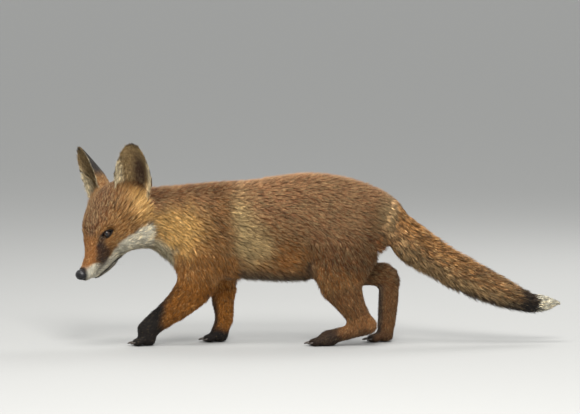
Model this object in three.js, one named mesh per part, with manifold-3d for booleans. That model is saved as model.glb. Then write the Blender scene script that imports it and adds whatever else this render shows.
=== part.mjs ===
// A red fox cub of about fifteen weeks, walking with its head lowered: a still, life-size model.
// Its body is one smooth implicit shape, blended from limbs with oval sections, and is parted by thin
// cuts into head, muzzle, jaw, neck, trunk, tail and legs. Ears, eyes, nose pad and claws are pieces of
// their own. Every outline is that of the coat's tips. The fox faces -X, its left side is -Y, +Z is up,
// and the soles stand on z = 0. Millimetres and degrees.

import * as THREE from "three";
import { mergeVertices } from "three/addons/utils/BufferGeometryUtils.js";
import Module from "manifold-3d";

const wasm = await Module();
wasm.setup();

// ---- Driving dimensions ----

const GAP = 0.3; // the width of a cut between two neighbouring pieces
const SOLE = 0; // the level of the soles

// Head: the point midway between the eyeballs, and how the head is turned.
const HEAD_AT = [-323, -40, 164];
const HEAD_YAW = 40; // towards its left
const HEAD_PITCH = 50; // nose down
const HEAD_ROLL = 4; // left side down

// On the head: places along the muzzle's axis, to the left and up, from the point between the eyes.
const EYE = { forward: -2.5, side: 18.5, up: 9.5, radius: 8.5 };
const SOCKET = { forward: 1, side: 27, up: 12.5, radii: [12.5, 8.5, 8.5] };
const NOSE = { forward: 66, side: 0, up: -6, radii: [8.5, 9, 8] };
const NOSTRIL = { forward: 73, side: 4.4, up: -6.5, radii: [6, 1.8, 2.2] };

// Ears: root, the way that the tip points, and the way that the bowl opens.
const EAR_LENGTH = 92;
const EAR_WIDTH = 62;
const EAR_WIDEST = 0.36; // share of the length
const EAR_FOOT = 0.8; // share of the width at the foot
const EAR_BURIED = 0.24; // share of the length that roots in the head
const EAR_BOWL = 36; // how deep the bowl is at its foot
const EAR_THICKNESS = 4.2;
const EAR_GAP = 0.8; // the ears' curved roots lie in slots this much wider
const EARS = {
  ear_left: { root: [-276, -50, 219], tip: [0, -0.28, 0.96], opens: [-0.28, -0.93, -0.25] },
  ear_right: { root: [-335, 13, 215], tip: [-0.31, 0.4, 0.865], opens: [-0.93, -0.34, -0.1] },
};

const PAW_SIDE = 30; // each paw's distance from the middle plane
const TOE_COUNT = 4;
const TOE_RADIUS = 7;
const TOE_PITCH = 8; // from toe to toe across the paw
const TOE_SUNK = 1.6; // how much of a toe's pad is pressed flat
const PAD_RADII = [14, 14, 11.5];
const PAD_DROP = 4.2; // the pad's middle lies this far below the toes' roots
const CLAW_LENGTH = 10;
const CLAW_RADIUS = 1.8;
const CLAW_TIP = 1.6; // the claws' tips stay this far off the floor

// ---- The limbs' sections ----

// Neck and trunk: centre line x and y, back line, belly line, half width.
const TRUNK = [
  [-272, -22, 230, 158, 34],
  [-244, -11, 239, 142, 38],
  [-216, -4, 241, 130, 41],
  [-188, 0, 243, 114, 46],
  [-158, 0, 246, 102, 50],
  [-122, 0, 248, 97, 53],
  [-86, 0, 250, 96, 54],
  [-50, 0, 256, 94, 54],
  [-14, 0, 260, 97, 50],
  [22, 0, 257, 112, 46],
  [56, 0, 248, 136, 42],
  [82, 0, 236, 160, 35],
  [98, 0, 222, 180, 26],
];

// Head in its own frame: along the muzzle's axis from the eyes, top line, bottom line, half width.
const CRANIUM = [
  [-66, 34, -32, 34],
  [-46, 43, -42, 42],
  [-22, 38, -44, 39],
  [-4, 26, -42, 28],
  [10, 14, -40, 20],
];
const MUZZLE = [
  [0, 18, -34, 20],
  [14, 11, -31, 16.5],
  [30, 4, -28, 14],
  [46, 0, -25, 12.5],
  [60, -1, -22, 10.5],
];
const JAW = [
  [-6, -22, -48, 20],
  [14, -22, -47, 15],
  [30, -22, -43, 12.5],
  [44, -21, -37, 10],
  [50, -21, -34, 8.5],
];
const CHEEK = { forward: -28, side: 27, up: -24, radii: [28, 20, 22] };
const BROW = { forward: -6, side: 16, up: 15, radii: [13, 12, 8] };

// Legs: centre x, y, z, half width, half depth, from the trunk to the sole.
const FORE_LEFT = [
  [-184, -28, 150, 24, 40],
  [-179, -34, 98, 20, 32],
  [-203, -33, 66, 16, 24],
  [-235, -PAW_SIDE, 40, 14, 18.5],
  [-256, -PAW_SIDE, 24, 14, 15],
];
const FORE_RIGHT = [
  [-176, 28, 150, 24, 38],
  [-142, 33, 92, 17, 23],
  [-142, 32, 62, 14, 18.5],
  [-141, PAW_SIDE, 34, 13, 15],
  [-147, PAW_SIDE, 17, 14, 12.5],
];
const HIND_LEFT = [
  [50, -18, 196, 24, 44],
  [45, -28, 150, 26, 50],
  [32, -35, 106, 22, 40],
  [44, -35, 74, 18, 26],
  [57, -33, 51, 15, 20],
  [68, -32, 35, 13, 16],
];
const HIND_RIGHT = [
  [50, 18, 196, 24, 44],
  [40, 28, 150, 24, 44],
  [26, 35, 110, 20, 34],
  [70, 34, 103, 15, 19.5],
  [104, 32, 101, 14, 18.5],
  [107.5, 31, 80, 13, 17],
  [106, PAW_SIDE, 50, 13, 16],
  [104, PAW_SIDE, 27, 13.5, 14.5],
];
const HIND_LEFT_FOOT = [
  [78, -32, 30, 12, 13],
  [44, -32, 20, 13, 11.5],
  [16, -32, 13, 14, 11],
];

// Paws: where the toes spring from, the way that they point (degrees from -X), and their length.
const PAWS = {
  front_left: { heel: [-254, -PAW_SIDE, 14], toe_in: -2, toes: 18 },
  front_right: { heel: [-148, PAW_SIDE, 14], toe_in: 4, toes: 19 },
  hind_left: { heel: [14, -32, 12], toe_in: -3, toes: 22 },
  hind_right: { heel: [102, PAW_SIDE, 14], toe_in: 3, toes: 22 },
};

// Tail: centre x, y, z, half width, half depth.
const TAIL = [
  [98, 0, 194, 25, 26],
  [122, 0, 171.5, 27, 29.5],
  [146, 0, 150.5, 29, 31.5],
  [193, 1, 119, 29, 30],
  [230, 3, 99, 26, 27],
  [275, 6, 78, 22, 22.5],
  [310, 9, 64, 16.5, 17],
  [335, 11, 60.5, 11.5, 12],
  [348, 12, 61.5, 7.4, 8],
  [357, 12, 62.3, 4, 4.4],
];

const ROUND = 2; // a section's exponent: 2 is an oval, more is squarer
const TRUNK_SHAPE = 2.2;
const MUZZLE_SHAPE = 2.6;

// ---- Frames and vectors ----

const vec = (p) => new THREE.Vector3(...p);
const rad = THREE.MathUtils.degToRad;

function headFrame() {
  const yaw = rad(HEAD_YAW);
  const pitch = rad(HEAD_PITCH);
  const forward = new THREE.Vector3(
    -Math.cos(pitch) * Math.cos(yaw),
    -Math.cos(pitch) * Math.sin(yaw),
    -Math.sin(pitch),
  );
  const left = new THREE.Vector3(Math.sin(yaw), -Math.cos(yaw), 0);
  left.applyAxisAngle(forward, -rad(HEAD_ROLL));
  const up = new THREE.Vector3().crossVectors(forward, left);
  return new THREE.Matrix4().makeBasis(forward, left, up).setPosition(vec(HEAD_AT));
}

const HEAD = headFrame();
const onHead = (forward, side, up) => new THREE.Vector3(forward, side, up).applyMatrix4(HEAD);
const headWay = (forward, side, up) => new THREE.Vector3(forward, side, up).transformDirection(HEAD);

// ---- Implicit shapes: a function of x, y, z that is negative inside, near a distance outside ----

const STEPS = 6; // samples between two stations of a limb
const FAR = 45; // past this a limb gives the distance to a ball round it

// A limb with an oval section at each station. "across" is roughly the way of its half widths.
function limb(stations, across, power = ROUND) {
  const curve = new THREE.CatmullRomCurve3(stations.map((s) => s.at), false, "centripetal");
  const samples = [];
  const last = (stations.length - 1) * STEPS;
  for (let i = 0; i <= last; i++) {
    const t = i / last;
    const at = curve.getPoint(t);
    const along = curve.getTangent(t);
    const side = across.clone().addScaledVector(along, -across.dot(along)).normalize();
    const up = new THREE.Vector3().crossVectors(along, side);
    const whole = Math.min(Math.floor(i / STEPS), stations.length - 2);
    const part = i / STEPS - whole;
    const wide = blendOf(stations, "wide", whole, part);
    const deep = blendOf(stations, "deep", whole, part);
    samples.push({ at, along, side, up, wide, deep });
  }
  const middle = new THREE.Box3().setFromPoints(samples.map((s) => s.at)).getCenter(new THREE.Vector3());
  const reach = Math.max(...samples.map((s) => s.at.distanceTo(middle) + Math.max(s.wide, s.deep)));
  return (x, y, z) => {
    const away = Math.hypot(x - middle.x, y - middle.y, z - middle.z) - reach;
    if (away > FAR) return away;
    let best = Infinity;
    for (let i = 0; i < last; i++) {
      best = Math.min(best, segmentDistance(samples[i], samples[i + 1], x, y, z, best, power));
    }
    return best;
  };
}

// A station's value eased to the next one's by a Catmull-Rom rule.
function blendOf(stations, key, i, t) {
  const a = stations[Math.max(i - 1, 0)][key];
  const b = stations[i][key];
  const c = stations[i + 1][key];
  const d = stations[Math.min(i + 2, stations.length - 1)][key];
  const slopeIn = (c - a) / 2;
  const slopeOut = (d - b) / 2;
  return (
    b + t * slopeIn + t * t * (3 * (c - b) - 2 * slopeIn - slopeOut) + t ** 3 * (2 * (b - c) + slopeIn + slopeOut)
  );
}

function segmentDistance(a, b, x, y, z, best, power) {
  const dx = b.at.x - a.at.x;
  const dy = b.at.y - a.at.y;
  const dz = b.at.z - a.at.z;
  const px = x - a.at.x;
  const py = y - a.at.y;
  const pz = z - a.at.z;
  const square = dx * dx + dy * dy + dz * dz;
  const t = Math.min(1, Math.max(0, (px * dx + py * dy + pz * dz) / square));
  const wide = a.wide + (b.wide - a.wide) * t;
  const deep = a.deep + (b.deep - a.deep) * t;
  const rx = px - dx * t;
  const ry = py - dy * t;
  const rz = pz - dz * t;
  const off = Math.hypot(rx, ry, rz);
  if (off - Math.max(wide, deep) * 1.2 > best) return best;
  const side = rx * a.side.x + ry * a.side.y + rz * a.side.z;
  const up = rx * a.up.x + ry * a.up.y + rz * a.up.z;
  const along = rx * a.along.x + ry * a.along.y + rz * a.along.z;
  return ovalDistance(along, side, up, (wide + deep) / 2, wide, deep, power);
}

// About the distance to an ellipsoid with these half axes, or to a squarer one with a higher power.
function ovalDistance(x, y, z, a, b, c, power = ROUND) {
  if (power === ROUND) {
    const near = Math.hypot(x / a, y / b, z / c);
    const slope = Math.hypot(x / (a * a), y / (b * b), z / (c * c));
    return slope > 1e-9 ? (near * (near - 1)) / slope : -Math.min(a, b, c);
  }
  const [u, v, w] = [Math.abs(x) / a, Math.abs(y) / b, Math.abs(z) / c];
  const near = (u ** power + v ** power + w ** power) ** (1 / power);
  const rise = power - 1;
  const slope = Math.hypot(u ** rise / a, v ** rise / b, w ** rise / c) * near ** -rise;
  return near > 1e-6 ? (near - 1) / slope : -Math.min(a, b, c);
}

// An ellipsoid lying along the head's axes.
function headOval({ forward, side, up, radii }) {
  const centre = onHead(forward, side, up);
  const [f, l, u] = [headWay(1, 0, 0), headWay(0, 1, 0), headWay(0, 0, 1)];
  const [a, b, c] = radii;
  return (x, y, z) => {
    const dx = x - centre.x;
    const dy = y - centre.y;
    const dz = z - centre.z;
    return ovalDistance(
      dx * f.x + dy * f.y + dz * f.z,
      dx * l.x + dy * l.y + dz * l.z,
      dx * u.x + dy * u.y + dz * u.z,
      a,
      b,
      c,
    );
  };
}

function smoothUnion(shapes, reach) {
  return (x, y, z) => {
    let d = shapes[0](x, y, z);
    for (let i = 1; i < shapes.length; i++) {
      const e = shapes[i](x, y, z);
      const h = Math.max(reach - Math.abs(d - e), 0) / reach;
      d = Math.min(d, e) - (h * h * reach) / 4;
    }
    return d;
  };
}

// ---- The body ----

const Y = new THREE.Vector3(0, 1, 0);
const leg = (rows) => limb(rows.map(([x, y, z, wide, deep]) => ({ at: vec([x, y, z]), wide, deep })), Y);
const trunkLimb = limb(
  TRUNK.map(([x, y, top, bottom, wide]) => ({
    at: new THREE.Vector3(x, y, (top + bottom) / 2),
    wide,
    deep: (top - bottom) / 2,
  })),
  Y,
  TRUNK_SHAPE,
);
const onHeadLimb = (rows, power) =>
  limb(
    rows.map(([forward, top, bottom, wide]) => ({
      at: onHead(forward, 0, (top + bottom) / 2),
      wide,
      deep: (top - bottom) / 2,
    })),
    headWay(0, 1, 0),
    power,
  );

function mirrored(shape) {
  return [shape, { ...shape, side: -shape.side }].map(headOval);
}

function heelPad({ heel }) {
  const [x, y, z] = heel;
  return (px, py, pz) => ovalDistance(px - x, py - y, pz - z + PAD_DROP, ...PAD_RADII);
}

const cranium = smoothUnion([onHeadLimb(CRANIUM, TRUNK_SHAPE), ...mirrored(CHEEK)], 14);
const snout = smoothUnion([onHeadLimb(MUZZLE, MUZZLE_SHAPE), onHeadLimb(JAW)], 4);
const headShape = smoothUnion([cranium, snout, ...mirrored(BROW)], 8);
const torso = smoothUnion([trunkLimb, leg(TAIL)], 18);
const foreLeft = smoothUnion([leg(FORE_LEFT), heelPad(PAWS.front_left)], 8);
const foreRight = smoothUnion([leg(FORE_RIGHT), heelPad(PAWS.front_right)], 8);
const hindLeft = smoothUnion([leg(HIND_LEFT), leg(HIND_LEFT_FOOT), heelPad(PAWS.hind_left)], 8);
const hindRight = smoothUnion([leg(HIND_RIGHT), heelPad(PAWS.hind_right)], 8);
const trunkAndHead = smoothUnion([torso, headShape], 20);
const whole = smoothUnion([trunkAndHead, foreLeft, foreRight, hindLeft, hindRight], 18);

// ---- From an implicit shape to a mesh: surface nets on a grid of cubes ----

const CORNERS = [0, 1, 2, 3, 4, 5, 6, 7].map((i) => [i & 1, (i >> 1) & 1, (i >> 2) & 1]);
const EDGES = [];
for (let a = 0; a < 8; a++) {
  for (const bit of [1, 2, 4]) if (!(a & bit)) EDGES.push([a, a | bit]);
}

const BLOCK = 4;

// The surface of the shape inside a box, closed where the box cuts it and flat on the sole.
function netOf(shape, low, high, cell) {
  const n = [0, 1, 2].map((k) => Math.ceil((high[k] - low[k]) / cell) + 3);
  const origin = [0, 1, 2].map((k) => low[k] - cell * 1.5);
  const index = (i, j, k) => (k * n[1] + j) * n[0] + i;
  const value = new Float32Array(n[0] * n[1] * n[2]);
  const place = (i, axis) => origin[axis] + i * cell;
  const field = (x, y, z) => {
    const walls = Math.max(low[0] - x, x - high[0], low[1] - y, y - high[1], low[2] - z, z - high[2]);
    return walls > cell * 2 ? walls : Math.max(shape(x, y, z), walls);
  };
  // A block of cubes far from the surface takes the value at its centre.
  const far = BLOCK * cell * 1.5;
  const each = (from, size, visit) => {
    for (let k = from[2]; k < Math.min(from[2] + size, n[2]); k++) {
      for (let j = from[1]; j < Math.min(from[1] + size, n[1]); j++) {
        for (let i = from[0]; i < Math.min(from[0] + size, n[0]); i++) visit(i, j, k);
      }
    }
  };
  for (let k = 0; k < n[2]; k += BLOCK) {
    for (let j = 0; j < n[1]; j += BLOCK) {
      for (let i = 0; i < n[0]; i += BLOCK) {
        const middle = (BLOCK - 1) / 2;
        const d = field(place(i + middle, 0), place(j + middle, 1), place(k + middle, 2));
        const near = Math.abs(d) < far;
        each([i, j, k], BLOCK, (a, b, c) => {
          value[index(a, b, c)] = near ? field(place(a, 0), place(b, 1), place(c, 2)) : d;
        });
      }
    }
  }
  const vertexOf = new Int32Array(value.length).fill(-1);
  const points = [];
  for (let k = 0; k + 1 < n[2]; k++) {
    for (let j = 0; j + 1 < n[1]; j++) {
      for (let i = 0; i + 1 < n[0]; i++) {
        const v = CORNERS.map(([a, b, c]) => value[index(i + a, j + b, k + c)]);
        const crossings = EDGES.filter(([a, b]) => v[a] < 0 !== v[b] < 0);
        if (!crossings.length) continue;
        const sum = [0, 0, 0];
        for (const [a, b] of crossings) {
          const t = v[a] / (v[a] - v[b]);
          for (let axis = 0; axis < 3; axis++) {
            sum[axis] += CORNERS[a][axis] + t * (CORNERS[b][axis] - CORNERS[a][axis]);
          }
        }
        vertexOf[index(i, j, k)] = points.length / 3;
        [i, j, k].forEach((base, axis) => points.push(place(base + sum[axis] / crossings.length, axis)));
      }
    }
  }
  const faces = [];
  const quad = (a, b, c, d, flip) => faces.push(...(flip ? [a, c, b, a, d, c] : [a, b, c, a, c, d]));
  for (let k = 1; k + 1 < n[2]; k++) {
    for (let j = 1; j + 1 < n[1]; j++) {
      for (let i = 1; i + 1 < n[0]; i++) {
        const inside = value[index(i, j, k)] < 0;
        const at = (di, dj, dk) => vertexOf[index(i + di, j + dj, k + dk)];
        if (inside !== value[index(i + 1, j, k)] < 0) {
          quad(at(0, -1, -1), at(0, 0, -1), at(0, 0, 0), at(0, -1, 0), !inside);
        }
        if (inside !== value[index(i, j + 1, k)] < 0) {
          quad(at(-1, 0, -1), at(-1, 0, 0), at(0, 0, 0), at(0, 0, -1), !inside);
        }
        if (inside !== value[index(i, j, k + 1)] < 0) {
          quad(at(-1, -1, 0), at(0, -1, 0), at(0, 0, 0), at(-1, 0, 0), !inside);
        }
      }
    }
  }
  return { points: onSurface(field, points, cell), faces };
}

// Each point moved along the field's slope until it lies on the surface.
function onSurface(field, points, cell) {
  const moved = Float32Array.from(points);
  const step = cell * 0.05;
  for (let round = 0; round < 2; round++) {
    for (let i = 0; i < moved.length; i += 3) {
      const [x, y, z] = moved.subarray(i, i + 3);
      const d = field(x, y, z);
      const slope = [
        field(x + step, y, z) - field(x - step, y, z),
        field(x, y + step, z) - field(x, y - step, z),
        field(x, y, z + step) - field(x, y, z - step),
      ].map((s) => s / (2 * step));
      const square = Math.max(slope.reduce((s, c) => s + c * c, 0), 0.3);
      const most = cell * 0.35;
      for (let axis = 0; axis < 3; axis++) {
        moved[i + axis] -= Math.min(most, Math.max(-most, (d * slope[axis]) / square));
      }
    }
  }
  return moved;
}

const solidOfNet = ({ points, faces }) =>
  new wasm.Manifold(new wasm.Mesh({ numProp: 3, vertProperties: points, triVerts: new Uint32Array(faces) }));

function solidOf(geometry) {
  const bare = geometry.clone();
  bare.deleteAttribute("normal");
  bare.deleteAttribute("uv");
  const merged = mergeVertices(bare, 1e-4);
  return new wasm.Manifold(
    new wasm.Mesh({
      numProp: 3,
      vertProperties: merged.attributes.position.array,
      triVerts: new Uint32Array(merged.index.array),
    }),
  );
}

function geometryOf(solid) {
  const { numProp, vertProperties, triVerts } = solid.getMesh();
  const count = vertProperties.length / numProp;
  const position = new Float32Array(count * 3);
  for (let i = 0; i < count; i++) {
    for (let axis = 0; axis < 3; axis++) position[i * 3 + axis] = vertProperties[i * numProp + axis];
  }
  const geometry = new THREE.BufferGeometry();
  geometry.setAttribute("position", new THREE.BufferAttribute(position, 3));
  geometry.setIndex(new THREE.BufferAttribute(new Uint32Array(triVerts), 1));
  return geometry;
}

// ---- Ears, eyes, nose and claws ----

const TINY = 1e-6;

// A sphere whose points are moved by a rule from their place on the unit sphere.
function shapedBall([around, rings], rule) {
  const ball = new THREE.SphereGeometry(1, around, rings);
  const position = ball.attributes.position;
  for (let i = 0; i < position.count; i++) {
    const at = rule(position.getX(i), position.getY(i), position.getZ(i));
    position.setXYZ(i, at.x, at.y, at.z);
  }
  return solidOf(ball);
}

const EAR_MESH = [14, 12]; // segments round a ball, and from pole to pole
const TOE_MESH = [7, 6];
const EYE_MESH = [12, 8];
const NOSE_MESH = [10, 8];
const NOSTRIL_MESH = [5, 4];
const CLAW_MESH = [5, 4];

// Half the bowl's width at a height from 0, its foot, to 1, its tip.
function earHalfWidth(height) {
  const half = EAR_WIDTH / 2;
  if (height < EAR_WIDEST) return half * (1 - (1 - EAR_FOOT) * (1 - Math.max(0, height) / EAR_WIDEST) ** 2);
  const rise = (height - EAR_WIDEST) / (1 - EAR_WIDEST);
  return half * Math.max(0, 1 - rise ** 1.45) ** 0.55;
}

// A thin bowl: the ball's rings are laid up the ear, with its front and back halves as two sheets.
// Below the foot the bowl runs on into the head and ends in a round edge.
function ear({ root, tip, opens }, grow = 0) {
  const up = vec(tip).normalize();
  const front = vec(opens).addScaledVector(up, -vec(opens).dot(up)).normalize();
  const side = new THREE.Vector3().crossVectors(up, front);
  return shapedBall(EAR_MESH, (x, y, z) => {
    const ring = Math.hypot(x, z);
    const across = ring > TINY ? x / ring : 0;
    const face = Math.abs(z) > TINY ? z / ring : 0;
    const share = (Math.acos(THREE.MathUtils.clamp(-y, -1, 1)) / Math.PI + (1 + y) / 2) / 2;
    const height = share * (1 + EAR_BURIED) - EAR_BURIED;
    const above = Math.max(0, height);
    const wide = earHalfWidth(height);
    const closing = height < 0 ? Math.sqrt(Math.max(0, 1 - (height / EAR_BURIED) ** 2)) : 1;
    const away = across * wide * closing;
    const depth = EAR_BOWL * ((2 * wide) / EAR_WIDTH) * (1 - 0.68 * above);
    const slope = Math.atan2(2 * depth * away, Math.max(wide * wide, 1));
    const inwards = front.clone().multiplyScalar(Math.cos(slope)).addScaledVector(side, -Math.sin(slope));
    const outwards = side.clone().multiplyScalar(Math.cos(slope)).addScaledVector(front, Math.sin(slope));
    const edge = Math.min(1, (wide * closing) / 4);
    const sheet = (EAR_THICKNESS / 2) * (1 - 0.4 * above) * edge + grow * Math.min(1, ring * 8);
    return vec(root)
      .addScaledVector(up, height * EAR_LENGTH + grow * y)
      .addScaledVector(side, away)
      .addScaledVector(front, -depth * (1 - (away / Math.max(wide, 1)) ** 2))
      .addScaledVector(outwards, across * grow)
      .addScaledVector(inwards, Math.sign(face) * Math.sqrt(Math.abs(face)) * sheet);
  });
}

// A ball or an oval on the head, grown by a margin.
function onHeadBall({ forward, side, up, radii }, mesh, grow = 0) {
  const [a, b, c] = radii.map((radius) => radius + grow);
  return shapedBall(mesh, (x, y, z) => onHead(forward + a * x, side + b * y, up + c * z));
}

const bothSides = (place) => [place, { ...place, side: -place.side }];
const eyeBall = ({ radius, ...place }) => ({ ...place, radii: [radius, radius, radius] });

// Toes fan out from the heel of a paw and rest on the sole.
function toesOf({ heel, toe_in, toes }) {
  const way = new THREE.Vector3(-1, 0, 0).applyAxisAngle(new THREE.Vector3(0, 0, 1), rad(toe_in));
  const out = new THREE.Vector3(-way.y, way.x, 0);
  const made = [];
  for (let i = 0; i < TOE_COUNT; i++) {
    const place = i - (TOE_COUNT - 1) / 2;
    const reach = toes * (Math.abs(place) < 1 ? 1 : 0.72);
    const root = vec(heel).addScaledVector(out, place * TOE_PITCH * 0.8);
    const tip = vec(heel).addScaledVector(out, place * TOE_PITCH * 1.08).addScaledVector(way, reach);
    tip.z = SOLE + TOE_RADIUS - TOE_SUNK;
    made.push({ root, tip, way });
  }
  return made;
}

// A toe is a blunt oval that slopes down from its knuckle and then lies along the floor.
function toe({ root, tip, way }) {
  const out = new THREE.Vector3(-way.y, way.x, 0);
  const end = tip.clone().addScaledVector(way, TOE_RADIUS - 1);
  return shapedBall(TOE_MESH, (x, y, z) => {
    const share = (y + 1) / 2;
    const blunt = Math.max(Math.hypot(x, z), 1e-3) ** -0.4;
    const at = root.clone().lerp(end, share).addScaledVector(out, -x * blunt * (TOE_RADIUS - 0.4));
    at.z = root.z + (tip.z - root.z) * Math.min(1, share * 1.5) + z * blunt * TOE_RADIUS;
    return at;
  });
}

// A claw curves forwards and down from inside a toe's tip.
function claw({ tip, way }, grow = 0) {
  const out = new THREE.Vector3(-way.y, way.x, 0);
  const root = tip.clone().addScaledVector(way, TOE_RADIUS - 4.5);
  const drop = root.z - CLAW_TIP - CLAW_RADIUS;
  return shapedBall(CLAW_MESH, (x, y, z) => {
    const share = (y + 1) / 2;
    const radius = CLAW_RADIUS * (1 - 0.45 * share) + grow;
    return root
      .clone()
      .addScaledVector(way, share * CLAW_LENGTH + grow * y)
      .addScaledVector(out, -x * radius)
      .add(new THREE.Vector3(0, 0, z * radius - drop * share * share));
  });
}

// ---- Cuts between the pieces of flesh: a point on each plane, and the way it faces ----

const BELOW_SHOULDER = [0, -0.67, -0.74];
const BELOW_HIP = [0, -0.81, -0.59];
const otherSide = ([x, y, z]) => [x, -y, z];
const CUTS = {
  nape: { at: [-258, -28, 200], faces: [0.9, 0.42, 0.1] },
  muzzle_root: { at: onHead(15, 0, 0).toArray(), faces: headWay(1, 0, 0).toArray() },
  mouth: { at: onHead(30, 0, -33).toArray(), faces: headWay(0.175, 0, -1).toArray() },
  neck: { at: [-226, 0, 190], faces: [0.95, 0, -0.3] },
  midriff: { at: [-122, 0, 0], faces: [1, 0, 0] },
  loin: { at: [-24, 0, 0], faces: [1, 0, 0] },
  rump: { at: [100, 0, 190], faces: [0.94, 0, -0.34] },
  under_tail: { at: [110, 0, 133], faces: [0.56, 0, 0.83] },
  tail_middle: { at: [200, 1, 115], faces: [0.85, 0, -0.53] },
  tail_end: { at: [322, 10, 62], faces: [0.98, 0.06, -0.15] },
  shoulder_left: { at: [0, 0, 95], faces: BELOW_SHOULDER },
  shoulder_right: { at: [0, 0, 95], faces: otherSide(BELOW_SHOULDER) },
  elbow_left: { at: [-187, -34, 86], faces: [-0.55, 0, -0.83] },
  elbow_right: { at: [-142, 33, 84], faces: [0, 0, -1] },
  wrist_left: { at: [-239, -31, 37], faces: [-0.77, 0, -0.64] },
  wrist_right: { at: [-141, 30, 31], faces: [0, 0, -1] },
  hip_left: { at: [0, 0, 92], faces: BELOW_HIP },
  hip_right: { at: [0, 0, 92], faces: otherSide(BELOW_HIP) },
  knee_left: { at: [37, -35, 90], faces: [0.35, 0, -0.94] },
  knee_right: { at: [45, 35, 106], faces: [0.95, 0, -0.3] },
  hock_left: { at: [63, -32, 42], faces: [0.3, 0, -0.95] },
  hock_right: { at: [106, 32, 84], faces: [0.15, 0, -1] },
  toes_left: { at: [27, -32, 15], faces: [-1, 0, -0.1] },
  toes_right: { at: [104, 30, 27], faces: [-0.2, 0, -1] },
  middle: { at: [0, 0, 0], faces: [0, 1, 0] },
  sole: { at: [0, 0, SOLE - GAP / 2], faces: [0, 0, 1] },
};

// Each piece: the box that it lies in, the size of the cubes that mesh it, and the cuts round it,
// each kept on the side that the cut faces (1) or the side behind it (-1).
const FLESH = {
  head: { low: [-390, -115, 100], high: [-225, 60, 266], cell: 11.5, cuts: { nape: -1, muzzle_root: -1 } },
  muzzle: { low: [-378, -95, 84], high: [-290, -10, 190], cell: 7.2, cuts: { muzzle_root: 1, mouth: -1 } },
  lower_jaw: { low: [-378, -95, 84], high: [-290, -5, 175], cell: 6.6, cuts: { muzzle_root: 1, mouth: 1 } },
  neck: { low: [-310, -84, 100], high: [-180, 60, 270], cell: 16, cuts: { nape: 1, neck: -1 } },
  chest: {
    low: [-285, -80, 76],
    high: [-98, 80, 270],
    cell: 19,
    cuts: { neck: 1, midriff: -1, shoulder_left: -1, shoulder_right: -1 },
  },
  belly: { low: [-146, -80, 70], high: [2, 80, 284], cell: 19, cuts: { midriff: 1, loin: -1 } },
  hips: {
    low: [-48, -80, 70],
    high: [150, 80, 284],
    cell: 17,
    cuts: { loin: 1, rump: -1, hip_left: -1, hip_right: -1 },
  },
  tail_base: { low: [66, -54, 75], high: [225, 54, 250], cell: 15.5, cuts: { rump: 1, under_tail: 1, tail_middle: -1 } },
  tail_brush: { low: [176, -44, 30], high: [340, 50, 160], cell: 12, cuts: { tail_middle: 1, tail_end: -1 } },
  tail_tip: { low: [304, -20, 36], high: [374, 46, 92], cell: 7.5, cuts: { tail_end: 1 } },
  upper_foreleg_left: {
    low: [-275, -80, 50],
    high: [-104, 16, 180],
    cell: 12.5,
    cuts: { neck: 1, midriff: -1, shoulder_left: 1, elbow_left: -1, middle: -1 },
  },
  upper_foreleg_right: {
    low: [-275, -16, 60],
    high: [-104, 80, 180],
    cell: 12.5,
    cuts: { neck: 1, midriff: -1, shoulder_right: 1, elbow_right: -1, middle: 1 },
  },
  forearm_left: { low: [-270, -76, 4], high: [-136, 6, 120], cell: 10.5, cuts: { elbow_left: 1, wrist_left: -1 } },
  forearm_right: { low: [-184, -2, 16], high: [-104, 76, 104], cell: 10, cuts: { elbow_right: 1, wrist_right: -1 } },
  paw_front_left: { low: [-300, -64, -12], high: [-210, 4, 68], cell: 9.5, cuts: { wrist_left: 1 } },
  paw_front_right: { low: [-190, -4, -12], high: [-110, 64, 50], cell: 9.5, cuts: { wrist_right: 1 } },
  thigh_left: {
    low: [-42, -80, 60],
    high: [124, 16, 204],
    cell: 13.5,
    cuts: { loin: 1, under_tail: -1, hip_left: 1, knee_left: -1, middle: -1 },
  },
  thigh_right: {
    low: [-42, -16, 60],
    high: [110, 80, 204],
    cell: 13.5,
    cuts: { loin: 1, under_tail: -1, hip_right: 1, knee_right: -1, middle: 1 },
  },
  shank_left: { low: [-6, -76, 16], high: [108, 4, 120], cell: 10.5, cuts: { knee_left: 1, hock_left: -1 } },
  shank_right: {
    low: [24, -4, 60],
    high: [144, 76, 156],
    cell: 10.5,
    cuts: { knee_right: 1, hock_right: -1, hip_right: 1, under_tail: -1 },
  },
  foot_left: { low: [8, -64, -12], high: [104, 0, 64], cell: 8.5, cuts: { hock_left: 1, toes_left: -1 } },
  foot_right: { low: [64, 0, 8], high: [144, 64, 106], cell: 9.5, cuts: { hock_right: 1, toes_right: -1 } },
  paw_hind_left: { low: [-30, -68, -12], high: [46, 4, 50], cell: 9.5, cuts: { toes_left: 1 } },
  paw_hind_right: { low: [60, -4, -12], high: [140, 64, 48], cell: 9.5, cuts: { toes_right: 1 } },
};

// What is left of a solid on one side of a cut.
function trimmed(solid, { at, faces }, side) {
  const normal = vec(faces).normalize().multiplyScalar(side);
  return solid.trimByPlane(normal.toArray(), normal.dot(vec(at)) + GAP / 2);
}

function piece({ low, high, cell, cuts }) {
  const solid = solidOfNet(netOf(whole, low, high, cell));
  return Object.entries(cuts).reduce((rest, [name, side]) => trimmed(rest, CUTS[name], side), solid);
}

// ---- Colours and the finished group ----

const RUSSET = "#9a6238";
const FACE = "#a8662f";
const DARK = "#2a2019";
const PALE = "#e6dfd0";
const GREY_BROWN = "#84684a";
const BLACK_GLOSS = "#141212";
const HORN = "#3a322b";
const COLOURS = {
  head: FACE,
  muzzle: FACE,
  lower_jaw: PALE,
  tail_base: RUSSET,
  tail_brush: GREY_BROWN,
  tail_tip: PALE,
  nose: BLACK_GLOSS,
};

const solids = new Map();
for (const [name, place] of Object.entries(FLESH)) solids.set(name, piece(place));

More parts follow.
